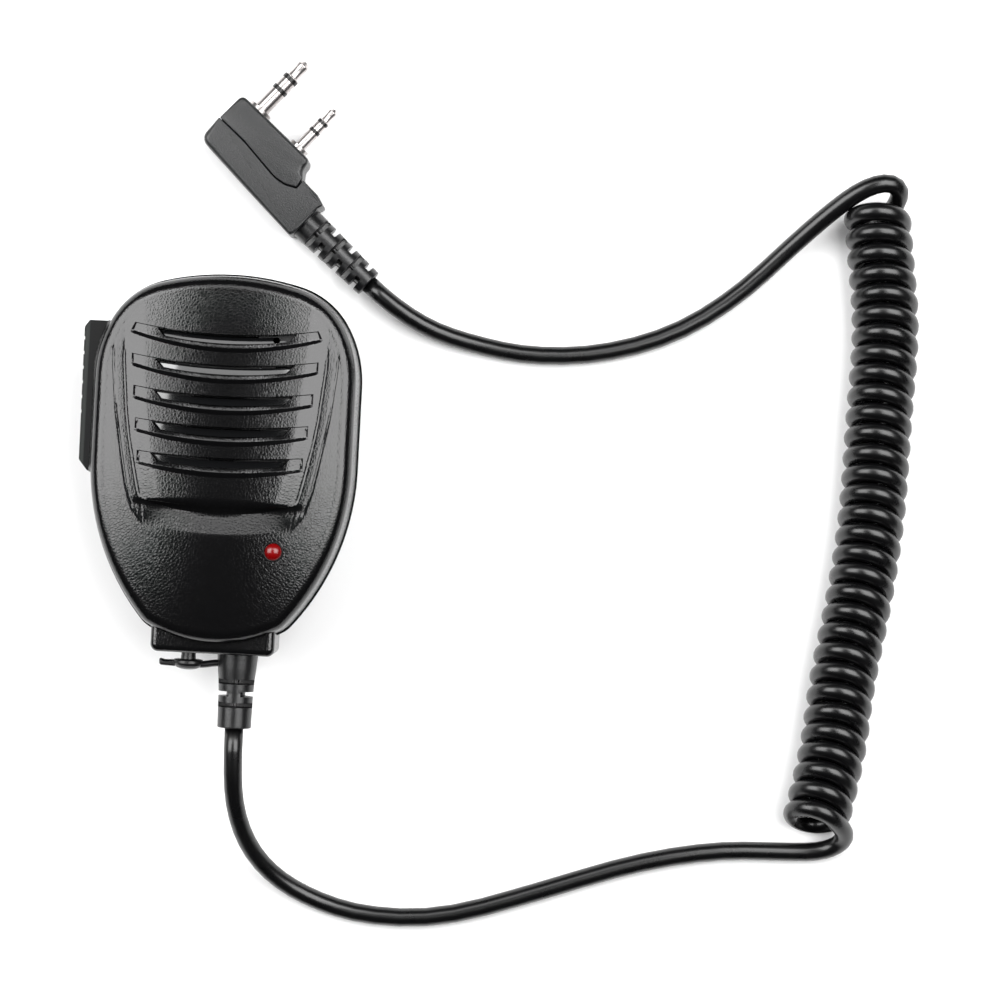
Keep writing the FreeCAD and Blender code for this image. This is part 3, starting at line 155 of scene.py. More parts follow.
cord = {
    "diameter": 4.0, "sides": 20, "coilMean": 5.42, "turns": 30, "perTurn": 14,
    "firstTurnAt": 5.0, "lastTurnAt": 136.6, "startAngle": 52.0, "endAngle": 300.0,
    "leanLow": 3.2, "leanHigh": 1.9,
}
micLead = np.array([
    (4.9, -56.0, 18.7), (4.9, -64.5, 18.7), (5.6, -74.0, 14.6), (8.6, -82.6, 9.2),
    (14.2, -89.2, 5.0), (22.2, -93.8, 2.5), (33.6, -97.0, 2.1), (50.5, -96.8, 2.1),
    (70.0, -90.4, 2.1), (92.0, -82.4, 2.1), (110.0, -78.6, 2.1), (123.0, -78.2, 2.1),
    (131.6, -78.0, 2.15), (136.2, -76.4, 3.4), (138.2, -73.4, 6.4),
])
coilLine = np.array([
    (137.0, 65.0, 7.4), (138.7, 52.0, 7.4), (140.9, 37.0, 7.4), (140.1, 17.0, 7.4),
    (139.9, -3.0, 7.4), (138.0, -22.0, 7.4), (134.9, -41.0, 7.4), (134.0, -57.0, 7.4),
    (129.9, -75.8, 7.4),
])
plugLead = np.array([
    (27.958, 40.935, 5.25), (32.329, 37.122, 5.25), (41.5, 31.8, 3.7), (51.4, 29.1, 2.3),
    (63.8, 27.1, 2.1), (79.0, 28.2, 2.1), (94.8, 33.2, 2.1), (108.4, 42.4, 2.3),
    (119.8, 54.2, 4.6), (127.4, 61.6, 8.4), (133.6, 66.6, 11.6), (139.2, 68.4, 12.4),
    (142.6, 66.4, 9.6),
])


# A helix about the coil's own line: side times cosine plus up times sin, with the turn
# leaning along the line by the sine of the same angle.
def coilPoints():
    line = splinePoints("coilLine", coilLine[::-1] * mm, 24)
    run = np.concatenate([[0], np.cumsum(np.linalg.norm(np.diff(line, axis=0), axis=1))])
    total = cord["turns"] * 360 + cord["endAngle"] - 90
    count = int(round((total + 90 - cord["startAngle"]) / 360 * cord["perTurn"]))
    angle = np.linspace(cord["startAngle"], 90 + total, count)
    share = (angle - 90) / (cord["turns"] * 360)
    at = (cord["firstTurnAt"] + share * (cord["lastTurnAt"] - cord["firstTurnAt"])) * mm
    centre = np.column_stack([np.interp(at, run, line[:, k]) for k in range(3)])
    tangent = np.gradient(centre, axis=0)
    tangent /= np.linalg.norm(tangent, axis=1, keepdims=True)
    side = np.cross(tangent, [0.0, 0.0, 1.0])
    up = np.cross(side, tangent)
    turn = np.radians(angle)[:, None]
    lean = (cord["leanLow"] + (cord["leanHigh"] - cord["leanLow"]) * share)[:, None] * mm
    around = (side * np.cos(turn) + up * np.sin(turn)) * cord["coilMean"] * mm
    return centre + around + tangent * lean * np.sin(turn)


coil = coilPoints()
cordRoute = np.vstack([micLead * mm, coil, plugLead[::-1] * mm])
cordPath = splinePoints("cordRoute", cordRoute, 3)
cordPiece = gridPiece("cordTube", tubeGrid(cordPath, cord["diameter"] / 2 * mm, cord["sides"]),
                      wrap=True, caps=(True, True))

# ---- finishes ----


# One value or colour inside a material, so that shader maths reads as plain Python.
class Socket:
    def __init__(self, finish, link):
        self.finish = finish
        self.link = link

    def combine(self, operation, other, swap=False):
        pair = (other, self) if swap else (self, other)
        return self.finish.node("ShaderNodeMath", {"operation": operation}, pair)

    def __add__(self, other):
        return self.combine("ADD", other)

    def __sub__(self, other):
        return self.combine("SUBTRACT", other)

    def __rsub__(self, other):
        return self.combine("SUBTRACT", other, swap=True)

    def __mul__(self, other):
        return self.combine("MULTIPLY", other)

    def __lt__(self, other):
        return self.combine("LESS_THAN", other)

    __radd__ = __add__
    __rmul__ = __mul__


# A material that starts with a shader, and makes its other nodes by one method.
class Finish:
    def __init__(self, name, settings=None):
        self.material = bpy.data.materials.new(name)
        self.material.use_nodes = True
        self.tree = self.material.node_tree
        self.shader = self.tree.nodes["Principled BSDF"]
        for key, value in (settings or {}).items():
            self.set(key, value)
        self.place = self.node("ShaderNodeTexCoord", {}, (), "Object")

    def set(self, key, value):
        socket = self.shader.inputs[key]
        if isinstance(value, Socket):
            self.tree.links.new(value.link, socket)
        elif isinstance(value, tuple):
            socket.default_value = (*value, 1.0)
        else:
            socket.default_value = value

    def node(self, kind, settings, values, output=0):
        made = self.tree.nodes.new(kind)
        for key, value in settings.items():
            setattr(made, key, value)
        items = values.items() if isinstance(values, dict) else enumerate(values)
        for key, value in items:
            if isinstance(value, Socket):
                self.tree.links.new(value.link, made.inputs[key])
            else:
                made.inputs[key].default_value = value
        return Socket(self, made.outputs[output])

    def noise(self, size, detail=2.0, rough=0.5):
        return self.node("ShaderNodeTexNoise", {}, {
            "Vector": self.place, "Scale": 1 / (size * mm), "Detail": detail, "Roughness": rough})

    def cellEdges(self, size, randomness, where):
        return self.node("ShaderNodeTexVoronoi", {"feature": "DISTANCE_TO_EDGE"}, {
            "Vector": where, "Scale": 1 / (size * mm), "Randomness": randomness})

    def tint(self, share, first, second):
        return self.node("ShaderNodeMix", {"data_type": "RGBA"}, {
            0: share, 6: first if isinstance(first, Socket) else (*first, 1.0),
            7: second if isinstance(second, Socket) else (*second, 1.0)}, 2)

    def span(self, value, low, high):
        return self.node("ShaderNodeMapRange", {"clamp": True}, (value, low, high, 0.0, 1.0))

    def bump(self, height, depth):
        self.set("Normal", self.node("ShaderNodeBump", {}, {
            "Height": height, "Distance": depth * mm, "Strength": 1.0}))


# The first colour fills the grain's furrows as painted shade; the cell tops move towards the second colour
# in slow patches of real tone.
grained = {"colour": (0.0020, 0.0020, 0.0022), "unshadedTop": (0.0042, 0.0042, 0.0045), "grain": 0.62,
           "roughness": (0.09, 0.15), "depth": 0.016, "wander": 0.0002, "furrow": 0.28}
# The middle and size of a black disc painted on the film as a hole's shade.
paintedHoleShade = {"spot": (10.5, 26.3), "radius": 0.72}
buttonStrip = -29.3


# Leather grain: wandering cells rise from the furrows between them with the distance to their
# edge, up to a limit, and fine noise breaks them up.
def grainedPlastic():
    made = Finish("grainedPlastic", {"Specular IOR Level": 0.5})
    drift = made.noise(1.4, 2.0)
    wander = made.node("ShaderNodeVectorMath", {"operation": "ADD"}, (
        made.place, made.node("ShaderNodeVectorMath", {"operation": "SCALE"}, {
            0: made.node("ShaderNodeTexNoise", {}, {"Vector": made.place, "Scale": 900.0}, 1),
            "Scale": grained["wander"]})))
    furrow = made.span(made.cellEdges(grained["grain"], 1.0, wander), 0.0, grained["furrow"])
    fine = made.noise(0.16, 3.0, 0.6)
    height = furrow * 0.75 + fine * 0.18 + drift * 0.12
    made.bump(height, grained["depth"])
    low, high = grained["roughness"]
    made.set("Roughness", low + (high - low) * fine + 0.06 * (1 - furrow))
    # The furrows keep the darker colour as painted shade, and the tops lighten in slow random patches.
    made.set("Base Color", made.tint(furrow * drift, grained["colour"], grained["unshadedTop"]))
    return made.material


# Plain moulded plastic: a fine matt skin with a slow change of shine.
def smoothPlastic(name, colour, roughness, skin=0.25, depth=0.012, spread=0.08):
    made = Finish(name)
    fine = made.noise(skin, 3.0, 0.6)
    slow = made.noise(6.0, 2.0)
    made.bump(fine, depth)
    made.set("Roughness", roughness - spread / 2 + spread * slow)
    made.set("Base Color", made.tint(fine * slow, colour, tuple(c * 1.5 for c in colour)))
    return made.material


# Metal: fine noise in the shine, and faint clouding in the colour.
def plainMetal(name, colour, roughness, skin=0.12):
    made = Finish(name, {"Metallic": 1.0})
    fine = made.noise(skin, 3.0, 0.6)
    slow = made.noise(2.5, 2.0)
    made.bump(fine, 0.002)
    made.set("Roughness", roughness + 0.10 * fine * slow)
    made.set("Base Color", made.tint(slow, colour, tuple(c * 0.86 for c in colour)))
    return made.material


# Red lens: painted shade deepens its colour where the skin turns away from the eye.
def lampLens():
    made = Finish("lampLens", {"IOR": 1.5})
    edge = made.node("ShaderNodeLayerWeight", {}, (0.35,), "Facing")
    cloud = made.noise(0.8, 2.0)
    # The red darkens towards the rim, away from the eye, as painted shade.
    made.set("Base Color", made.tint(edge, (0.16, 0.0006, 0.001), (0.004, 0.0, 0.0002)))
    made.set("Roughness", 0.20 + 0.06 * cloud)
    return made.material


# Glossy dark sheet with a pick-up hole painted on as shade: inside a small circle about the hole's middle it
# is a metal of no colour, which is black from every side; no hole is cut.
def filmSheet():
    made = Finish("greyFilm", {"IOR": 1.75})
    parts = made.node("ShaderNodeSeparateXYZ", {}, (made.place,))
    alongY = Socket(made, parts.link.node.outputs[1])
    across = parts - paintedHoleShade["spot"][0] * mm
    up = alongY - paintedHoleShade["spot"][1] * mm
    # Inside this circle the film is painted black as the shade of a hole.
    holeShadeMask = (across * across + up * up) < (paintedHoleShade["radius"] * mm) ** 2
    wave = made.noise(3.0, 2.0)
    made.bump(wave, 0.01)
    made.set("Roughness", 0.05 + 0.04 * wave)
    made.set("Metallic", holeShadeMask)
    made.set("Base Color", made.tint(holeShadeMask, (0.004, 0.0042, 0.0046), (0.0, 0.0, 0.0)))
    return made.material


# The talk button: smooth black, with a dull grey-green strip along its outer edge, chosen by
# how far out a point is.
def buttonPlastic():
    made = Finish("buttonPlastic", {"Specular IOR Level": 0.22})
    parts = made.node("ShaderNodeSeparateXYZ", {}, (made.place,))
    strip = parts < buttonStrip * mm
    fine = made.noise(0.22, 3.0, 0.6)
    made.bump(fine, 0.012)
    made.set("Roughness", 0.30 + 0.22 * strip + 0.08 * fine)
    made.set("Base Color", made.tint(strip, (0.0025, 0.0026, 0.0028), (0.014, 0.016, 0.015)))
    return made.material


# The board: green lacquer with paler tracks along the edges between cells.
def boardGreen():
    made = Finish("boardGreen")
    lines = made.span(made.cellEdges(1.6, 0.9, made.place), 0.04, 0.06)
    made.set("Base Color", made.tint(lines, (0.05, 0.30, 0.12), (0.012, 0.10, 0.04)))
    made.set("Roughness", 0.32 + 0.1 * made.noise(0.5))
    return made.material


finishes = {
    "grained_abs": grainedPlastic(),
    "button_abs": buttonPlastic(),
    "clip_abs": smoothPlastic("clipPlastic", (0.006, 0.006, 0.0065), 0.36, depth=0.02),
    "zinc_steel": plainMetal("zincSteel", (0.56, 0.57, 0.60), 0.28),
    "spring_steel": plainMetal("springSteel", (0.42, 0.42, 0.45), 0.25),
    "grey_film": filmSheet(),
    "foam": smoothPlastic("gasketFoam", (0.015, 0.015, 0.015), 0.9, depth=0.08),
    "paper_cone": smoothPlastic("paperCone", (0.03, 0.03, 0.03), 0.8, depth=0.03),
    "magnet": smoothPlastic("magnetPaint", (0.05, 0.05, 0.055), 0.5),
    "soft_rubber": smoothPlastic("softRubber", (0.003, 0.003, 0.0033), 0.34, depth=0.02),
    "nickel": plainMetal("nickelPlate", (0.56, 0.53, 0.52), 0.26),
    "red_lens": lampLens(),
    "board_green": boardGreen(),
    "dark_epoxy": smoothPlastic("darkEpoxy", (0.02, 0.02, 0.02), 0.5),
    "relief_rubber": smoothPlastic("reliefRubber", (0.0030, 0.0031, 0.0034), 0.30, skin=0.35, depth=0.035),
    "wire_cover": smoothPlastic("wireCover", (0.30, 0.04, 0.03), 0.35),
    "cord_cover": smoothPlastic("cordCover", (0.0016, 0.0016, 0.0018), 0.28, skin=0.5, depth=0.006),
    "plug_body": smoothPlastic("plugBody", (0.0052, 0.0056, 0.0060), 0.34, skin=0.34, depth=0.07),
    "pin_insulator": smoothPlastic("pinInsulator", (0.006, 0.006, 0.006), 0.3),
}
slotOf = {s["node"]: s["material_slot"] for s in frame["record"]["subparts"]}
for name, node in nodes.items():
    node.data.materials.clear()
    node.data.materials.append(finishes[slotOf[name]])
print("finishes:", len(finishes))


# ---- front of the housing ----

shell = {
    "halfWidth": 28.1, "topY": 40.0, "topRound": 55.6, "cornerRound": 17.0, "sideRound": 25.0,
    "sideTop": 17.7, "chinY": -38.4, "waist": (15.7, -33.6), "chinCorner": 6.0,
    "parting": 20.0, "faceTop": 32.2, "crossCrown": 120.0, "longCrown": 300.0, "crownY": 6.0,
    "rimRound": 3.0, "draft": 0.6, "underside": 25.6, "wall": 2.2,
    "button": (-3.2, 29.2, 25.3), "seam": (0.3, 0.22), "arcSteps": 160,
}
panel = {
    "rise": 0.40, "riseRun": 4.5, "valley": 0.12, "scoop": 1.25, "crease": (0.20, 0.17),
    "fade": (20.0, 28.0), "tips": 15.4, "crescentTop": (-7.3, 1.1), "crescentLow": (-10.7, 2.3, 0.2),
    "lipEnd": (-15.1, 1.4), "corner": 2.4,
    "outer": [(-16, 16.2), (-9, 18.1), (-5, 19.3), (0, 20.35), (10, 22.2), (20, 23.3), (36, 24.2)],
    "inner": [(-16, 14.6), (-8, 16.3), (-5, 17.1), (0, 18.2), (5, 19.2), (10, 20.0), (20, 21.0), (36, 21.9)],
}
louvre = {
    "upper": (26.95, 6.46), "lower": (23.15, 6.55), "upperSag": (1.9, 1.78, 1.65, 1.4, 1.1),
    "lowerSag": (3.3, 3.1, 2.9, 2.8, 2.7), "half": (20.3, 0.72), "window": (14.6, 13.1),
    "depth": 1.8, "tipDepth": 0.45, "step": (2.0, 15.5), "endWall": 0.4,
    "film": 27.6, "sagAt": 20.0,
    "across": (0.0, 0.02, 0.05, 0.07, 0.09, 0.18, 0.28, 0.38, 0.48, 0.52, 0.54, 0.60, 0.70, 0.73,
               0.80, 0.90, 0.97, 1.0),
}
columns = (34, 14, 7, 8, 12)  # of the window, the slot's end, the rib, the strip and the border


def ease(value):  # rises from 0 to 1 with level ends: three squares less two cubes
    value = np.clip(value, 0.0, 1.0)
    return value * value * (3 - 2 * value)


# The right half of the outline, from the chin to the top: tangent arcs of circles, each point
# centre plus radius times (cosine, sine), whose outward normal is that same direction.
def halfOutline():
    half, top, chinY = shell["halfWidth"], complex(0, shell["topY"] - shell["topRound"]), shell["chinY"]
    sideAt = complex(half - shell["sideRound"], shell["sideTop"])
    near, far = shell["topRound"] - shell["cornerRound"], shell["sideRound"] - shell["cornerRound"]
    gap = abs(sideAt - top)
    along = (gap ** 2 + near ** 2 - far ** 2) / (2 * gap)
    aside = math.sqrt(near ** 2 - along ** 2)
    unit = (sideAt - top) / gap
    both = [top + unit * along + sign * 1j * unit * aside for sign in (-1, 1)]
    cornerAt = max(both, key=lambda c: c.real)
    waist = complex(*shell["waist"])
    drop = waist - half
    flankRound = abs(drop) ** 2 / (-2 * drop.real)
    flankAt = complex(half - flankRound, 0)
    lean = np.angle(waist - flankAt)
    chinCornerAt = waist - shell["chinCorner"] * np.exp(1j * lean)
    lift = chinCornerAt.imag - chinY
    square = chinCornerAt.real ** 2 + lift ** 2 - shell["chinCorner"] ** 2
    chinRound = square / (2 * (lift - shell["chinCorner"]))
    chinAt = complex(0, chinRound + chinY)
    low = np.angle(chinCornerAt - chinAt)
    high, middle = np.angle(cornerAt - top), np.angle(cornerAt - sideAt)
    arcs = [(chinAt, chinRound, -math.pi / 2, low), (chinCornerAt, shell["chinCorner"], low, lean),
            (flankAt, flankRound, lean, 0.0), (sideAt, shell["sideRound"], 0.0, middle),
            (cornerAt, shell["cornerRound"], middle, high), (top, shell["topRound"], high, math.pi / 2)]
    spots, normals, steps = [], [], shell["arcSteps"]
    for centre, radius, start, end in arcs:
        turn = np.exp(1j * np.linspace(start, end, steps))
        spots.append(centre + radius * turn)
        normals.append(turn)
    spots, normals = np.concatenate(spots), np.concatenate(normals)
    run = np.concatenate([[0], np.cumsum(np.abs(np.diff(spots)))])
    return run, spots, normals


outlineRun, outlineSpot, outlineNormal = halfOutline()
outlineEnd = float(outlineRun[-1])
chinMark, topMark = (float(outlineRun[int((k + 0.5) * shell["arcSteps"])]) for k in (1, 4))  # two corners


# The outline's point this far along, moved inwards along its normal.
def outlineAt(run, inset):
    spot, normal = (np.interp(run, outlineRun, way.real) + 1j * np.interp(run, outlineRun, way.imag)
                    for way in (outlineSpot, outlineNormal))
    return spot - inset * (normal / np.abs(normal))


edgeInset = shell["draft"] + shell["rimRound"]
border = outlineAt(outlineRun, edgeInset)
rising = slice(200, 4 * shell["arcSteps"] + 120)  # the flank and side, where y only grows


# Plain face: two crossed arcs, its top less x squared over twice one radius and the same along y.
def faceHeight(x, y):
    return (shell["faceTop"] - x ** 2 / (2 * shell["crossCrown"])
            - (y - shell["crownY"]) ** 2 / (2 * shell["longCrown"]))


# Face with its shield: a strip slopes down from the outer line to a valley at the inner line,
# the panel rises from there, and under the louvres it dips into the valley as a crescent.
def shieldHeight(x, y):
    wide = np.abs(x)
    outerX = np.interp(y, *zip(*panel["outer"]))
    innerX = np.interp(y, *zip(*panel["inner"]))
    fade = 1 - ease((y - panel["fade"][0]) / (panel["fade"][1] - panel["fade"][0]))
    share = np.clip(wide / panel["tips"], 0, 1) ** 2
    crescentTop = panel["crescentTop"][0] - panel["crescentTop"][1] * share
    lowY, lowRise, lowFlare = panel["crescentLow"]
    crescentLow = lowY + lowRise * share + lowFlare * np.clip(wide - panel["tips"], 0, 9)
    lipEnd = panel["lipEnd"][0] + panel["lipEnd"][1] * (wide / 15) ** 2
    sideways = (wide - innerX) / (outerX - innerX)
    downward = (crescentLow - y) / (crescentLow - lipEnd)
    power = panel["corner"]
    strip = (np.clip(sideways, 0, 9) ** power + np.clip(downward, 0, 9) ** power) ** (1 / power)
    lower = ease((-7.5 - y) / 2.5)
    valley = (panel["valley"] + panel["scoop"] * lower * (1 - 0.5 * share ** 4)) * fade
    stripZ = -valley * np.clip(1 - strip, 0, 1)
    inside = ease((innerX - wide) / panel["riseRun"])
    panelZ = -panel["valley"] * fade + (panel["rise"] + panel["valley"] * fade) * inside
    thick = np.clip(crescentTop - crescentLow, 0.05, 9)
    dip = np.clip((crescentTop - y) / thick, 0, 1)
    dip = dip ** 1.15 * ease((16.3 - wide) / 1.2)
    panelZ = panelZ + (-valley - panelZ) * dip
    onStrip = (sideways > 0) | (downward > 0)
    width, depth = panel["crease"]
    nearInner = np.exp(-((wide - innerX) / width) ** 2) * ease((y + 8.2) / 1.2)
    nearOuter = np.exp(-((strip - 1) * (outerX - innerX) / width) ** 2) * ease((y + 12.0) / 2.0)
    return (faceHeight(x, y) + np.where(onStrip, stripZ, panelZ)
            - depth * fade * (nearInner + nearOuter))


# A louvre across: a short wall down, the window, a ledge, then a slope back up to the rib.
def louvreHeight(x, surface, across, end, column, windowColumns):
    wide = np.abs(x)
    ramp = ease((wide - louvre["step"][0]) / (louvre["step"][1] - louvre["step"][0]))
    tip = np.clip((end - wide) / louvre["endWall"], 0, 1)
    deep = (louvre["depth"] + (louvre["tipDepth"] - louvre["depth"]) * ramp) * tip
    carved = surface - deep * np.interp(across, (0.0, 0.05, 0.60, 0.73, 1.0), (0.0, 1.0, 1.0, 0.92, 0.0))
    carved = np.where(wide >= end, surface, carved)
    inWindow = (across > 0.08) & (across < 0.53) & (column < windowColumns)
    return np.where(inWindow, louvre["film"], carved)


# The heights along y of a louvre's upper and lower edge in the middle of the face.
def louvreEdges(k):
    return (louvre[key][0] - k * louvre[key][1] for key in ("upper", "lower"))


# The window's half width, which narrows from its upper to its lower edge.
def windowHalf(across):
    mixed = np.clip((np.nan_to_num(across) - 0.09) / 0.43, 0, 1)
    return louvre["window"][0] + (louvre["window"][1] - louvre["window"][0]) * mixed


# Rows of the patch from the chin up. Each is a smile: y plus sag times (x over 20) squared.
def smileRows():
    rows = [(y, np.interp(y, (-15.1, -10.7, -7.3, -3.4), (2.5, 2.7, 2.7, 2.7)), np.nan, -1)
            for y in np.concatenate([np.linspace(-15.1, -10.9, 12), np.linspace(-10.6, -7.2, 14),
                                     np.linspace(-6.9, -3.35, 8)])]
    for k in range(4, -1, -1):
        upper, lower = louvreEdges(k)
        for across in louvre["across"][::-1]:
            sag = louvre["upperSag"][k] + (louvre["lowerSag"][k] - louvre["upperSag"][k]) * across
            rows.append((upper + (lower - upper) * across, sag, across, k))
        if k:
            nextLower = louvre["lower"][0] - (k - 1) * louvre["lower"][1]
            for share in (0.06, 0.2, 0.4, 0.6, 0.8, 0.94):
                sag = louvre["upperSag"][k] + (louvre["lowerSag"][k - 1] - louvre["upperSag"][k]) * share
                rows.append((upper + (nextLower - upper) * share, sag, np.nan, k))
    return rows


# Where a row of the patch meets each line, by half width, and how far along the outline it
# ends: its smile is followed out to the border by trial, and the lines stay inside that.
def rowKeys(y, sag, across, k):
    edgeY = y + sag
    for _ in range(8):
        edgeX = np.interp(edgeY, border.imag[rising], border.real[rising])
        edgeY = y + sag * (edgeX / louvre["sagAt"]) ** 2
    outerX = min(np.interp(y + sag, *zip(*panel["outer"])), edgeX - 0.9)
    innerX = min(np.interp(y + sag, *zip(*panel["inner"])), outerX - 0.9)
    end = min(louvre["half"][0] - max(k, 0) * louvre["half"][1], innerX - 0.2)
    mark = np.interp(edgeY, border.imag[rising], outlineRun[rising])
    return (windowHalf(across), end, innerX, outerX, edgeX), mark


# The rows between lip and louvres, mirrored about x = 0, each with its place across a louvre.
def middlePatch():
    grid, across, ends, marks = [], [], [], []
    for y, sag, q, k in smileRows():
        keys, mark = rowKeys(y, sag, q, k)
        half = [np.linspace(0.0, keys[0] - 0.15, columns[0])]
        half += [np.linspace(keys[n], keys[n + 1], columns[n + 1], endpoint=False) for n in range(3)]
        half = np.concatenate(half + [np.linspace(keys[3], keys[4], columns[4] + 1)])
        x = np.concatenate([-half[:0:-1], half])
        grid.append(x + 1j * (y + sag * (x / louvre["sagAt"]) ** 2))
        across.append(q)
        ends.append(keys[1])
        marks.append(mark)
    middle = np.array(grid)
    sideShare = middle.real / middle.real[:, -1:]
    middle[:, 0] = -np.conj(middle[:, -1])
    return middle, sideShare, across, ends, marks


# Above and below: a blend of two opposite curves, corrected so that its ends follow the sides.
def fillPatch(inner, share, farRun, innerMark, cornerMark, count):
    sign = np.where(share < 0, -1, 1)
    spot = outlineAt(farRun, edgeInset)
    far = spot.real * sign + 1j * spot.imag
    step = np.linspace(0, 1, count + 1)[1:, None] ** 0.9
    straight = inner[None] * (1 - step) + far[None] * step
    sideMarks = innerMark + (cornerMark - innerMark) * step
    miss = outlineAt(sideMarks, edgeInset) - (inner[-1] * (1 - step) + far[-1] * step)
    weight = np.abs(share)[None] ** 2
    moved = miss.real * weight * sign + 1j * miss.imag * weight
    return straight + moved, sideMarks[:, 0]


# The rim: inset runs as a cosine and height as a sine of the same quarter turn. The wall goes
# down from it to the seam's groove, and from there in to the underside.
def rimRings(run, sign, edgeZ):
    lowY, highY, liftZ = shell["button"]
    spotY = outlineAt(run, 0.0).imag
    foot = np.where((sign < 0) & (spotY > lowY) & (spotY < highY), liftZ, shell["parting"])
    tall, deep = shell["seam"]
    wallTop = edgeZ - shell["rimRound"]
    levels = [(shell["draft"] + shell["rimRound"] * (1 - math.cos(t)),
               edgeZ - shell["rimRound"] * (1 - math.sin(t))) for t in np.linspace(math.pi / 2, 0, 10)[1:]]
    levels += [(shell["draft"] * (1 - k / 5), wallTop + (foot + tall - wallTop) * k / 5)
               for k in range(1, 6)]
    levels += [(deep, foot + tall), (deep, foot), (shell["wall"], foot),
               (shell["wall"], np.full(len(run), shell["underside"]))]
    rings = []
    for inset, level in levels:
        spot = outlineAt(run, inset)
        rings.append(np.column_stack([spot.real * sign, spot.imag, level]))
    return rings


# The front: the face's patch, with a louvre's section in its rows, then the rim's rings.
def frontFace():
    middle, sideShare, across, ends, marks = middlePatch()
    lowRun = chinMark * np.abs(sideShare[0])
    highRun = outlineEnd - (outlineEnd - topMark) * np.abs(sideShare[-1])
    low, lowMarks = fillPatch(middle[0], sideShare[0], lowRun, marks[0], chinMark, 30)
    high, highMarks = fillPatch(middle[-1], sideShare[-1], highRun, marks[-1], topMark, 26)
    patch = np.vstack([low[::-1], middle, high])
    x, y = patch.real, patch.imag
    z = shieldHeight(x, y)
    acrossAll = np.concatenate([np.full(len(low), np.nan), across, np.full(len(high), np.nan)])
    endAll = np.concatenate([np.zeros(len(low)), ends, np.zeros(len(high))])
    column = np.abs(np.arange(x.shape[1]) - x.shape[1] // 2)[None]
    inLouvre = ~np.isnan(acrossAll)
    q, end = acrossAll[inLouvre][:, None], endAll[inLouvre][:, None]
    z[inLouvre] = louvreHeight(x[inLouvre], z[inLouvre], q, end, column, columns[0])

    index = np.arange(x.size).reshape(x.shape)
    loop = rimOf(index)
    sideMarks = np.concatenate([lowMarks[::-1], marks, highMarks])
    run = np.concatenate([lowRun[:-1], sideMarks[:-1], highRun[:0:-1], sideMarks[:0:-1]])
    sideways = np.ones(len(x) - 1)
    sign = np.concatenate([np.sign(sideShare[0])[:-1], sideways, np.sign(sideShare[-1])[:0:-1], -sideways])
    sign[sign == 0] = 1
    rings = rimRings(run, sign, z.ravel()[loop])
    points = np.vstack([np.column_stack([x.ravel(), y.ravel(), z.ravel()])] + rings) * mm
    quads = np.stack([index[:-1, :-1], index[:-1, 1:], index[1:, 1:], index[1:, :-1]], -1)
    faces = quads.reshape(-1, 4).tolist()
    previous = loop
    for level in range(len(rings)):
        current = x.size + level * len(loop) + np.arange(len(loop))
        faces += np.stack([previous, current, np.roll(current, -1), np.roll(previous, -1)], -1).tolist()
        previous = current
    faces.append(previous[::-1].tolist())
    piece = meshPiece("frontFace", points, faces)
    piece.data.set_sharp_from_angle(angle=math.radians(32))
    return piece


# The block under the chin: a rounded outline, carried up its wall and over a rounded top edge.
neckBlock = {"half": 13.1, "low": -40.2, "high": -30.0, "top": 26.4, "corner": 1.6, "edge": 1.3}


def neckPiece():
    half, corner, edge = neckBlock["half"], neckBlock["corner"], neckBlock["edge"]
    quarter = np.linspace(0, math.pi / 2, 9)
    low, high = neckBlock["low"] + corner, neckBlock["high"] - corner
    centres = [(half - corner, low, -math.pi / 2), (half - corner, high, 0),
               (corner - half, high, math.pi / 2), (corner - half, low, math.pi)]
    angle = np.concatenate([quarter + start for _, _, start in centres])
    cx = np.repeat([c[0] for c in centres], 9)
    cy = np.repeat([c[1] for c in centres], 9)
    rows = [(0.0, shell["parting"] + 0.02)]
    rows += [(0.0, z) for z in np.linspace(shell["parting"] + 0.4, neckBlock["top"] - edge, 5)]
    rows += [(edge * (1 - math.cos(t)), neckBlock["top"] - edge + edge * math.sin(t))
             for t in np.linspace(0, math.pi / 2, 8)[1:]]
    grid = [np.column_stack([cx + (corner - inset) * np.cos(angle), cy + (corner - inset) * np.sin(angle),
                             np.full(len(angle), z)]) for inset, z in rows]
    return gridPiece("neckBlock", np.array(grid) * mm, wrap=True, caps=(True, True))


# A dark bezel: a small circle carried round the lamp's rim.
bezel = {"spot": (12.1, -17.9), "radius": 1.98, "wire": 0.2, "lift": 0.05}


def lampBezel():
    turn = np.linspace(0, 2 * math.pi, 48, endpoint=False)[:, None]
    small = np.linspace(0, 2 * math.pi, 14, endpoint=False)[None]
    radius = bezel["radius"] + bezel["wire"] * np.cos(small)
    x, y = bezel["spot"][0] + radius * np.cos(turn), bezel["spot"][1] + radius * np.sin(turn)
    z = faceHeight(x, y) + bezel["lift"] + bezel["wire"] * np.sin(small)
    points = np.stack([x, y, z], axis=-1) * mm
    return gridPiece("lampBezel", np.vstack([points, points[:1]]), wrap=True)


# The film's panes: one in each window, following its smile, bowed along y as an arc's height
# and closed by a straight wall down from its border.
film = {"across": (0.14, 0.49), "inset": 0.36, "drop": 2.05, "bow": 75.0, "bowY": 6.0, "low": 27.5}


def filmPane(k):
    upper, lower = louvreEdges(k)
    q = np.linspace(*film["across"], 12)[:, None]
    x = (windowHalf(q) - film["inset"]) * np.linspace(-1, 1, 41)[None]
    sag = louvre["upperSag"][k] + (louvre["lowerSag"][k] - louvre["upperSag"][k]) * q
    y = upper + (lower - upper) * q + sag * (x / louvre["sagAt"]) ** 2
    middleY = upper + (lower - upper) * 0.3 + sag * 0.1
    fall = ((y - film["bowY"]) ** 2 - (middleY - film["bowY"]) ** 2) / (2 * film["bow"])
    z = faceHeight(x, middleY) + panel["rise"] - film["drop"] - fall
    return np.stack([x, y, z], axis=-1)


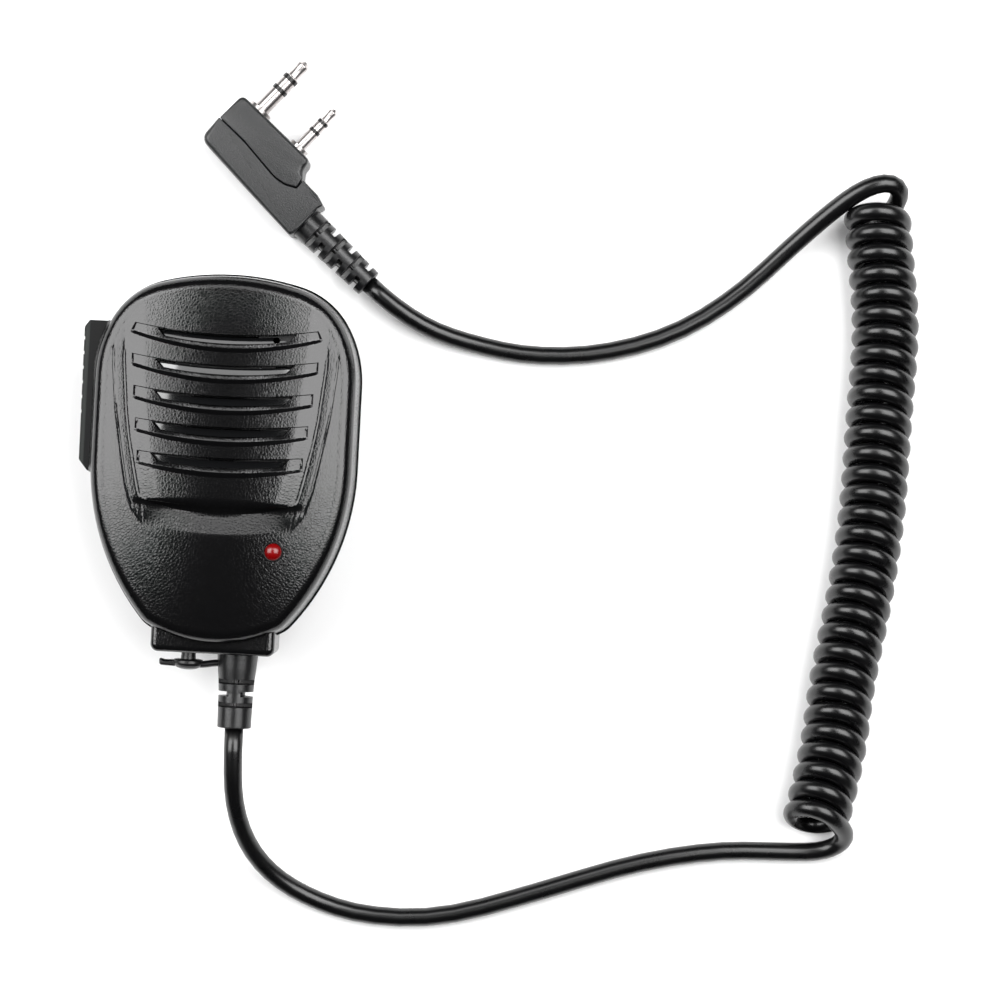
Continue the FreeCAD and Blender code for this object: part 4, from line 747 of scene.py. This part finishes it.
def filmPiece():
    points, faces = [], []
    for k in range(5):
        pane = filmPane(k)
        index = np.arange(pane.shape[0] * pane.shape[1]).reshape(pane.shape[:2]) + len(points)
        rim = rimOf(index)
        flat = pane.reshape(-1, 3)
        under = flat[rim - index[0, 0]].copy()
        under[:, 2] = film["low"]
        base = index[-1, -1] + 1 + np.arange(len(rim))
        points += flat.tolist() + under.tolist()
        quads = np.stack([index[:-1, :-1], index[1:, :-1], index[1:, 1:], index[:-1, 1:]], -1)
        faces += quads.reshape(-1, 4).tolist()
        faces += np.stack([rim, np.roll(rim, -1), np.roll(base, -1), base], -1).tolist()
        faces.append(base.tolist())
    return meshPiece("grilleFilm", np.array(points) * mm, faces)


faceObject = dressPiece(frontFace(), "housing", finishes["grained_abs"])
neckObject = dressPiece(neckPiece(), "housing", finishes["grained_abs"])
neckObject.data.set_sharp_from_angle(angle=math.radians(40))
dressPiece(lampBezel(), "housing", finishes["button_abs"])
filmObject = dressPiece(filmPiece(), "housing", finishes["grey_film"])
filmObject.data.set_sharp_from_angle(angle=math.radians(40))
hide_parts("front_shell")
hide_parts("grille_film")
print("front of the housing:", len(faceObject.data.polygons), "faces")


# ---- plug and strain reliefs ----

plug = {
    "origin": (2.7, 77.7), "turn": -41.1, "thick": 10.5, "gap": 0.02,
    "front": [(-4.5, -7.74, 0.3, 0.25), (3.0, -7.75, 6.0, 0.3), (9.9, -8.45, 8.0, 0.3),
              (13.0, -8.75, 6.0, 0.3), (15.6, -8.35, 4.0, 0.3), (17.9, -7.1, 0.4, 0.3),
              (17.6, -4.95, 0.8, 0.45), (16.3, -3.4, 2.4, 1.2), (15.9, -0.9, 2.6, 0.9),
              (6.0, -0.8, 1.0, 0.9), (-4.5, -0.8, 1.5, 0.9)],
    "rear": [(-4.6, -7.84, 0.3, 0.25), (-4.6, -13.9, 2.6, 1.3), (10.0, -14.85, 9.0, 1.1),
             (24.3, -15.6, 1.0, 0.8), (24.4, -13.0, 0.4, 0.35), (24.4, -7.0, 0.4, 0.35),
             (24.8, -5.9, 0.5, 0.4), (22.3, -5.1, 1.2, 0.9), (17.95, -5.0, 0.35, 0.28),
             (18.05, -7.2, 0.35, 0.28), (15.65, -8.46, 4.0, 0.3), (13.0, -8.87, 6.0, 0.3),
             (9.9, -8.57, 8.0, 0.3), (3.0, -7.86, 6.0, 0.3)],
}


# A place in the frame from the plug's own: u runs towards the cable and v towards the pins.
def plugSpot(u, v):
    lean = np.exp(1j * math.radians(plug["turn"]))
    spot = complex(*plug["origin"]) + (np.asarray(u) + 1j * np.asarray(v)) * lean
    return spot.real, spot.imag


# A closed outline from corners (across, along, round, edge): each corner becomes an arc that
# touches both of its sides; the edge radius is carried along with the points.
def roundLoop(corners, steps=8):
    spots = np.array([complex(c[0], c[1]) for c in corners])
    before, after = np.roll(spots, 1) - spots, np.roll(spots, -1) - spots
    loop, edges = [], []
    for spot, back, ahead, (_, _, radius, edge) in zip(spots, before, after, corners):
        backUnit, aheadUnit = back / abs(back), ahead / abs(ahead)
        half = abs(np.angle(aheadUnit / backUnit)) / 2
        reach = min(radius / math.tan(half), 0.48 * abs(back), 0.48 * abs(ahead))
        share = np.linspace(0, 1, steps)
        first, last = spot + backUnit * reach, spot + aheadUnit * reach
        loop.append(first * (1 - share) ** 2 + 2 * spot * share * (1 - share) + last * share ** 2)
        edges.append(np.full(steps, edge))
    return np.concatenate(loop), np.concatenate(edges)


# A thick plate of that outline; over both rims its inset runs as a cosine and its height as a
# sine of one quarter turn.
def platePiece(name, corners, low, high, place):
    loop, edges = roundLoop(corners)
    ahead = np.roll(loop, -1) - np.roll(loop, 1)
    outward = -1j * ahead / np.abs(ahead)
    area = np.sum(loop.real * np.roll(loop.imag, -1) - np.roll(loop.real, -1) * loop.imag)
    if area < 0:
        loop, edges, outward = loop[::-1], edges[::-1], -outward[::-1]
    turn = np.linspace(0, math.pi / 2, 7)
    rows = [(1 - math.sin(t), low + edges * (1 - math.cos(t))) for t in turn]
    rows += [(1 - math.cos(t), high - edges * (1 - math.sin(t))) for t in turn]
    grid = []
    for inset, level in rows:
        spot = loop - outward * edges * inset
        x, y = place(spot.real, spot.imag)
        grid.append(np.column_stack([x, y, level]))
    piece = gridPiece(name, np.array(grid) * mm, wrap=True, caps=(True, True))
    piece.data.set_sharp_from_angle(angle=math.radians(40))
    return piece


# A ribbed sleeve along an axis: its radius goes from wide to narrow, and slots sink into two
# opposite sides in turn, each as a window in run times a window in angle.
def sleevePiece(name, setup):
    length, slots = setup["length"], setup["slots"]
    breaks = [0.0, 0.02] + [at + side * (setup["slot"] / 2 + shift) for at, _ in slots
                            for side, shift in ((-1, 0.16), (-1, 0.0), (1, 0.0), (1, 0.16))]
    fill = np.linspace(0.1, length - 0.3, setup["fill"])
    run = np.unique(np.concatenate([breaks, fill, [length - 0.18, length - 0.06, length]]))
    angle = np.linspace(0, 2 * math.pi, 72, endpoint=False)
    keys, radii = zip(*setup["profile"])
    radius = np.broadcast_to(np.interp(run, keys, radii)[:, None], (len(run), len(angle))).copy()
    radius[-1] -= 0.22
    radius[-2] -= 0.07
    for at, sideways in slots:
        near = np.clip((setup["slot"] / 2 + 0.16 - np.abs(run - at)) / 0.16, 0, 1)[:, None]
        turned = angle - setup["twist"]
        facing = np.abs(np.cos(turned) if sideways else np.sin(turned))[None]
        radius -= setup["deep"][sideways] * near * np.clip((facing - setup["bridge"][sideways]) / 0.08, 0, 1)
    start, axis, up = (np.asarray(setup[key], dtype=float) for key in ("start", "axis", "up"))
    side = np.cross(axis, up)
    ring = side * np.cos(angle)[:, None] + up * np.sin(angle)[:, None]
    points = start + run[:, None, None] * axis + radius[..., None] * ring[None]
    piece = gridPiece(name, points * mm, wrap=True, caps=(True, True))
    piece.data.set_sharp_from_angle(angle=math.radians(38))
    return piece


neckSpot = plugSpot(24.1, -11.1)
neckAxis = plugSpot(25.1, -11.1)
sleeves = {
    "plugSleeve": {"start": (*neckSpot, 5.25),
                   "axis": (neckAxis[0] - neckSpot[0], neckAxis[1] - neckSpot[1], 0), "up": (0, 0, 1),
                   "length": 19.1, "slot": 1.0, "deep": (2.9, 1.6), "bridge": (0.14, 0.42),
                   "twist": 0.25, "fill": 24,
                   "profile": [(0, 3.72), (3.0, 3.7), (9.0, 3.5), (14.0, 3.32), (19.1, 3.18)],
                   "slots": [(3.8 + 2.6 * k, k % 2 == 1) for k in range(6)]},
    "micSleeve": {"start": (4.9, -40.35, 18.7), "axis": (0, -1, 0), "up": (0, 0, 1), "length": 15.66,
                  "slot": 0.75, "deep": (3.2, 1.7), "bridge": (0.12, 0.34), "twist": 0.0, "fill": 20,
                  "profile": [(0, 4.34), (3.2, 4.1), (5.5, 3.84), (8.5, 3.7), (15.66, 3.6)],
                  "slots": [(5.75, False), (8.35, True), (10.7, False)]},
}
pins = {"big": (0.0, 3.5, 14.0), "small": (11.7, 2.5, 11.0)}
pinShapes = {
    "Tip": ("tip", "nickel", [(0.67, 0.0), (0.67, 0.98), (0.684, 0.98), (0.70, 0.76), (0.76, 0.71),
                              (0.86, 0.72), (0.91, 0.80), (0.935, 0.79), (0.965, 0.58), (1.0, 0.34),
                              (1.0, 0.0)]),
    "CollarLow": ("insulators", "pin_insulator", [(0.372, 0.0), (0.372, 0.98), (0.38, 1.04), (0.44, 1.04),
                                                  (0.448, 0.98), (0.448, 0.0)]),
    "CollarHigh": ("insulators", "pin_insulator", [(0.602, 0.0), (0.602, 0.98), (0.61, 1.04), (0.67, 1.04),
                                                   (0.678, 0.98), (0.678, 0.0)]),
}


# A pin's tip or collar: a profile of shares of the pin's length and radius, turned about it.
def turnedPiece(name, profile, u, diameter, length):
    angle = np.linspace(0, 2 * math.pi, 32, endpoint=False)[None]
    share, radius = np.array(profile).T
    radius = np.maximum(radius, 0.02)[:, None] * diameter / 2
    across = u + radius * np.sin(angle)
    x, y = plugSpot(across, np.broadcast_to(share[:, None] * length, across.shape))
    z = plug["thick"] / 2 + radius * np.cos(angle)
    piece = gridPiece(name, np.stack([x, y, z], axis=-1) * mm, wrap=True, caps=(True, True))
    piece.data.set_sharp_from_angle(angle=math.radians(30))
    return piece


blocks = {}
for name, key in (("plugFront", "front"), ("plugRear", "rear")):
    plate = platePiece(name, plug[key], plug["gap"], plug["thick"] - plug["gap"], plugSpot)
    blocks[name] = dressPiece(plate, "housing", finishes["plug_body"])
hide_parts("plug_front_block")
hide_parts("plug_rear_cover")
for name, node in (("plugSleeve", "plug_strain_relief"), ("micSleeve", "mic_strain_relief")):
    sleeve = sleevePiece(name, sleeves[name])
    blocks[name] = dressPiece(sleeve, "housing", finishes["relief_rubber"])
    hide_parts(node)
for size, (u, diameter, length) in pins.items():
    for part, (node, slotName, profile) in pinShapes.items():
        name = size + part
        blocks[name] = dressPiece(turnedPiece(name, profile, u, diameter, length), "housing",
                                  finishes[slotName])
        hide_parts(f"{size}_pin_{node}")
print("plug and strain reliefs:", len(blocks), "pieces")

plugNodes = [nodes[n] for n in sorted(nodes) if n.startswith(("plug_", "big_pin", "small_pin"))]
plugNodes = [n for n in plugNodes if n.name != "plug_lead" and not n.hide_render]
plugNodes += [piece for name, piece in blocks.items() if name != "micSleeve"]
dressPiece(cordPiece, "housing", finishes["cord_cover"])
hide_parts("mic_lead", "curly_cord", "plug_lead")

# ---- dust cap, its strap and the clip's spring ----

cap = {
    "spot": (-5.6, 18.7), "profile": [
        (-34.6, 1.2), (-34.9, 1.5), (-41.82, 1.55), (-41.9, 2.7), (-42.0, 3.05), (-42.25, 3.2), (-42.8, 3.2),
        (-43.2, 3.0), (-43.65, 2.5), (-43.95, 1.7), (-44.08, 0.8), (-44.1, 0.1)],
    "tab": [(-8.2, -42.1, 0.3, 0.3), (-10.6, -42.2, 0.5, 0.4), (-11.7, -41.9, 0.3, 0.3),
            (-11.7, -43.4, 0.7, 0.5), (-8.2, -43.5, 0.3, 0.3)],
    "tabSpan": (17.5, 19.9), "strap": (-3.2, 1.2, -42.65, 0.75, 1.5), "wave": 0.25,
}
spring = {"axis": (14.0, 5.0), "half": 3.1, "radius": 1.62, "wire": 0.34, "turns": 6.5, "leg": 3.2}


# The cap: a profile turned about its own axis, a ring of the profile's radius at each depth.
def capPiece():
    along, radius = np.array(cap["profile"]).T
    fine = np.linspace(0, len(along) - 1, 60)
    along, radius = (np.interp(fine, np.arange(len(v)), v) for v in (along, radius))
    angle = np.linspace(0, 2 * math.pi, 40, endpoint=False)[None]
    x = cap["spot"][0] + radius[:, None] * np.sin(angle)
    z = cap["spot"][1] + radius[:, None] * np.cos(angle)
    y = np.broadcast_to(along[:, None], x.shape)
    piece = gridPiece("capHead", np.stack([x, y, z], axis=-1) * mm, wrap=True, caps=(True, True))
    piece.data.set_sharp_from_angle(angle=math.radians(50))
    return piece


# The strap: a tube along x whose middle line waves in y as half a cosine, stretched in height.
def strapPiece():
    low, high, y, half, tall = cap["strap"]
    x = np.linspace(low, high, 24)
    y = y - cap["wave"] * np.cos((x - low) / (high - low) * math.pi)
    path = np.column_stack([x, y, np.full(24, cap["spot"][1])])
    points = tubeGrid(path, half, 16)
    points[..., 2] = cap["spot"][1] + (points[..., 2] - cap["spot"][1]) * tall
    return gridPiece("capStrap", points * mm, wrap=True, caps=(True, True))


# The spring: a helix about the clip's pin, with a straight leg at each end.
def springPiece():
    turn = np.linspace(0, spring["turns"] * 2 * math.pi, 170)
    x = np.linspace(-spring["half"], spring["half"], 170)
    y = spring["axis"][0] + spring["radius"] * np.sin(turn)
    z = spring["axis"][1] + spring["radius"] * np.cos(turn)
    coilPath = np.column_stack([x, y, z])
    leg = np.array([[0, -spring["leg"] * s, 0] for s in (1.0, 0.75, 0.5, 0.25)])
    path = np.vstack([coilPath[0] + leg, coilPath, coilPath[-1] + leg[::-1]])
    return gridPiece("springCoil", tubeGrid(path, spring["wire"], 10) * mm, wrap=True, caps=(True, True))


capHead = dressPiece(capPiece(), "dust_cap", finishes["soft_rubber"])
dressPiece(platePiece("capTab", cap["tab"], *cap["tabSpan"], lambda x, y: (x, y)),
           "dust_cap", finishes["soft_rubber"])
capStrap = strapPiece()
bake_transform(capStrap)
capStrap.data.materials.append(finishes["soft_rubber"])
springCoil = dressPiece(springPiece(), "clip", finishes["spring_steel"])
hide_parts("dust_cap")
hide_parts("dust_cap_strap")
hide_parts("clip_spring")
print("dust cap and spring ready")


# ---- floor and light ----

studio = {"floor": (0.90, 0.90, 0.90), "floorSize": 3.0,
          "left": {"spot": (-0.50, 0.13, 0.62), "size": (0.60, 0.60), "power": 8.2},
          "right": {"spot": (0.40, 0.13, 0.66), "size": (0.60, 0.60), "power": 8.2},
          "far": {"spot": (-0.03, 0.42, 0.72), "size": (0.95, 0.26), "power": 2.2},
          "sky": 0.012}

floorHalf = studio["floorSize"] / 2
corners = np.array([(-floorHalf, -floorHalf, 0), (floorHalf, -floorHalf, 0),
                    (floorHalf, floorHalf, 0), (-floorHalf, floorHalf, 0)])
floorPiece = meshPiece("floor", corners, [[0, 1, 2, 3]], smooth=False)
floorFinish = Finish("floorPaper")
floorFinish.set("Roughness", 0.85 + 0.05 * floorFinish.noise(30.0))
floorFinish.set("Base Color", studio["floor"])
floorPiece.data.materials.append(floorFinish.material)

for side in ("left", "right", "far"):
    setup = studio[side]
    lamp = bpy.data.lights.new(side + "Softbox", "AREA")
    lamp.shape = "RECTANGLE"
    lamp.size, lamp.size_y = setup["size"]
    lamp.energy = setup["power"]
    box = bpy.data.objects.new(side + "Softbox", lamp)
    box.location = setup["spot"]
    sideways = math.atan2(setup["spot"][0], setup["spot"][2])
    along = math.atan2(setup["spot"][1], setup["spot"][2])
    box.rotation_euler = (-along, sideways, 0)
    bpy.context.scene.collection.objects.link(box)

bpy.context.scene.view_settings.view_transform = "Standard"
world = bpy.data.worlds.new("studio")
world.use_nodes = True
world.node_tree.nodes["Background"].inputs[0].default_value = (1.0, 1.0, 1.0, 1.0)
world.node_tree.nodes["Background"].inputs[1].default_value = studio["sky"]
bpy.context.scene.world = world
print("studio ready")
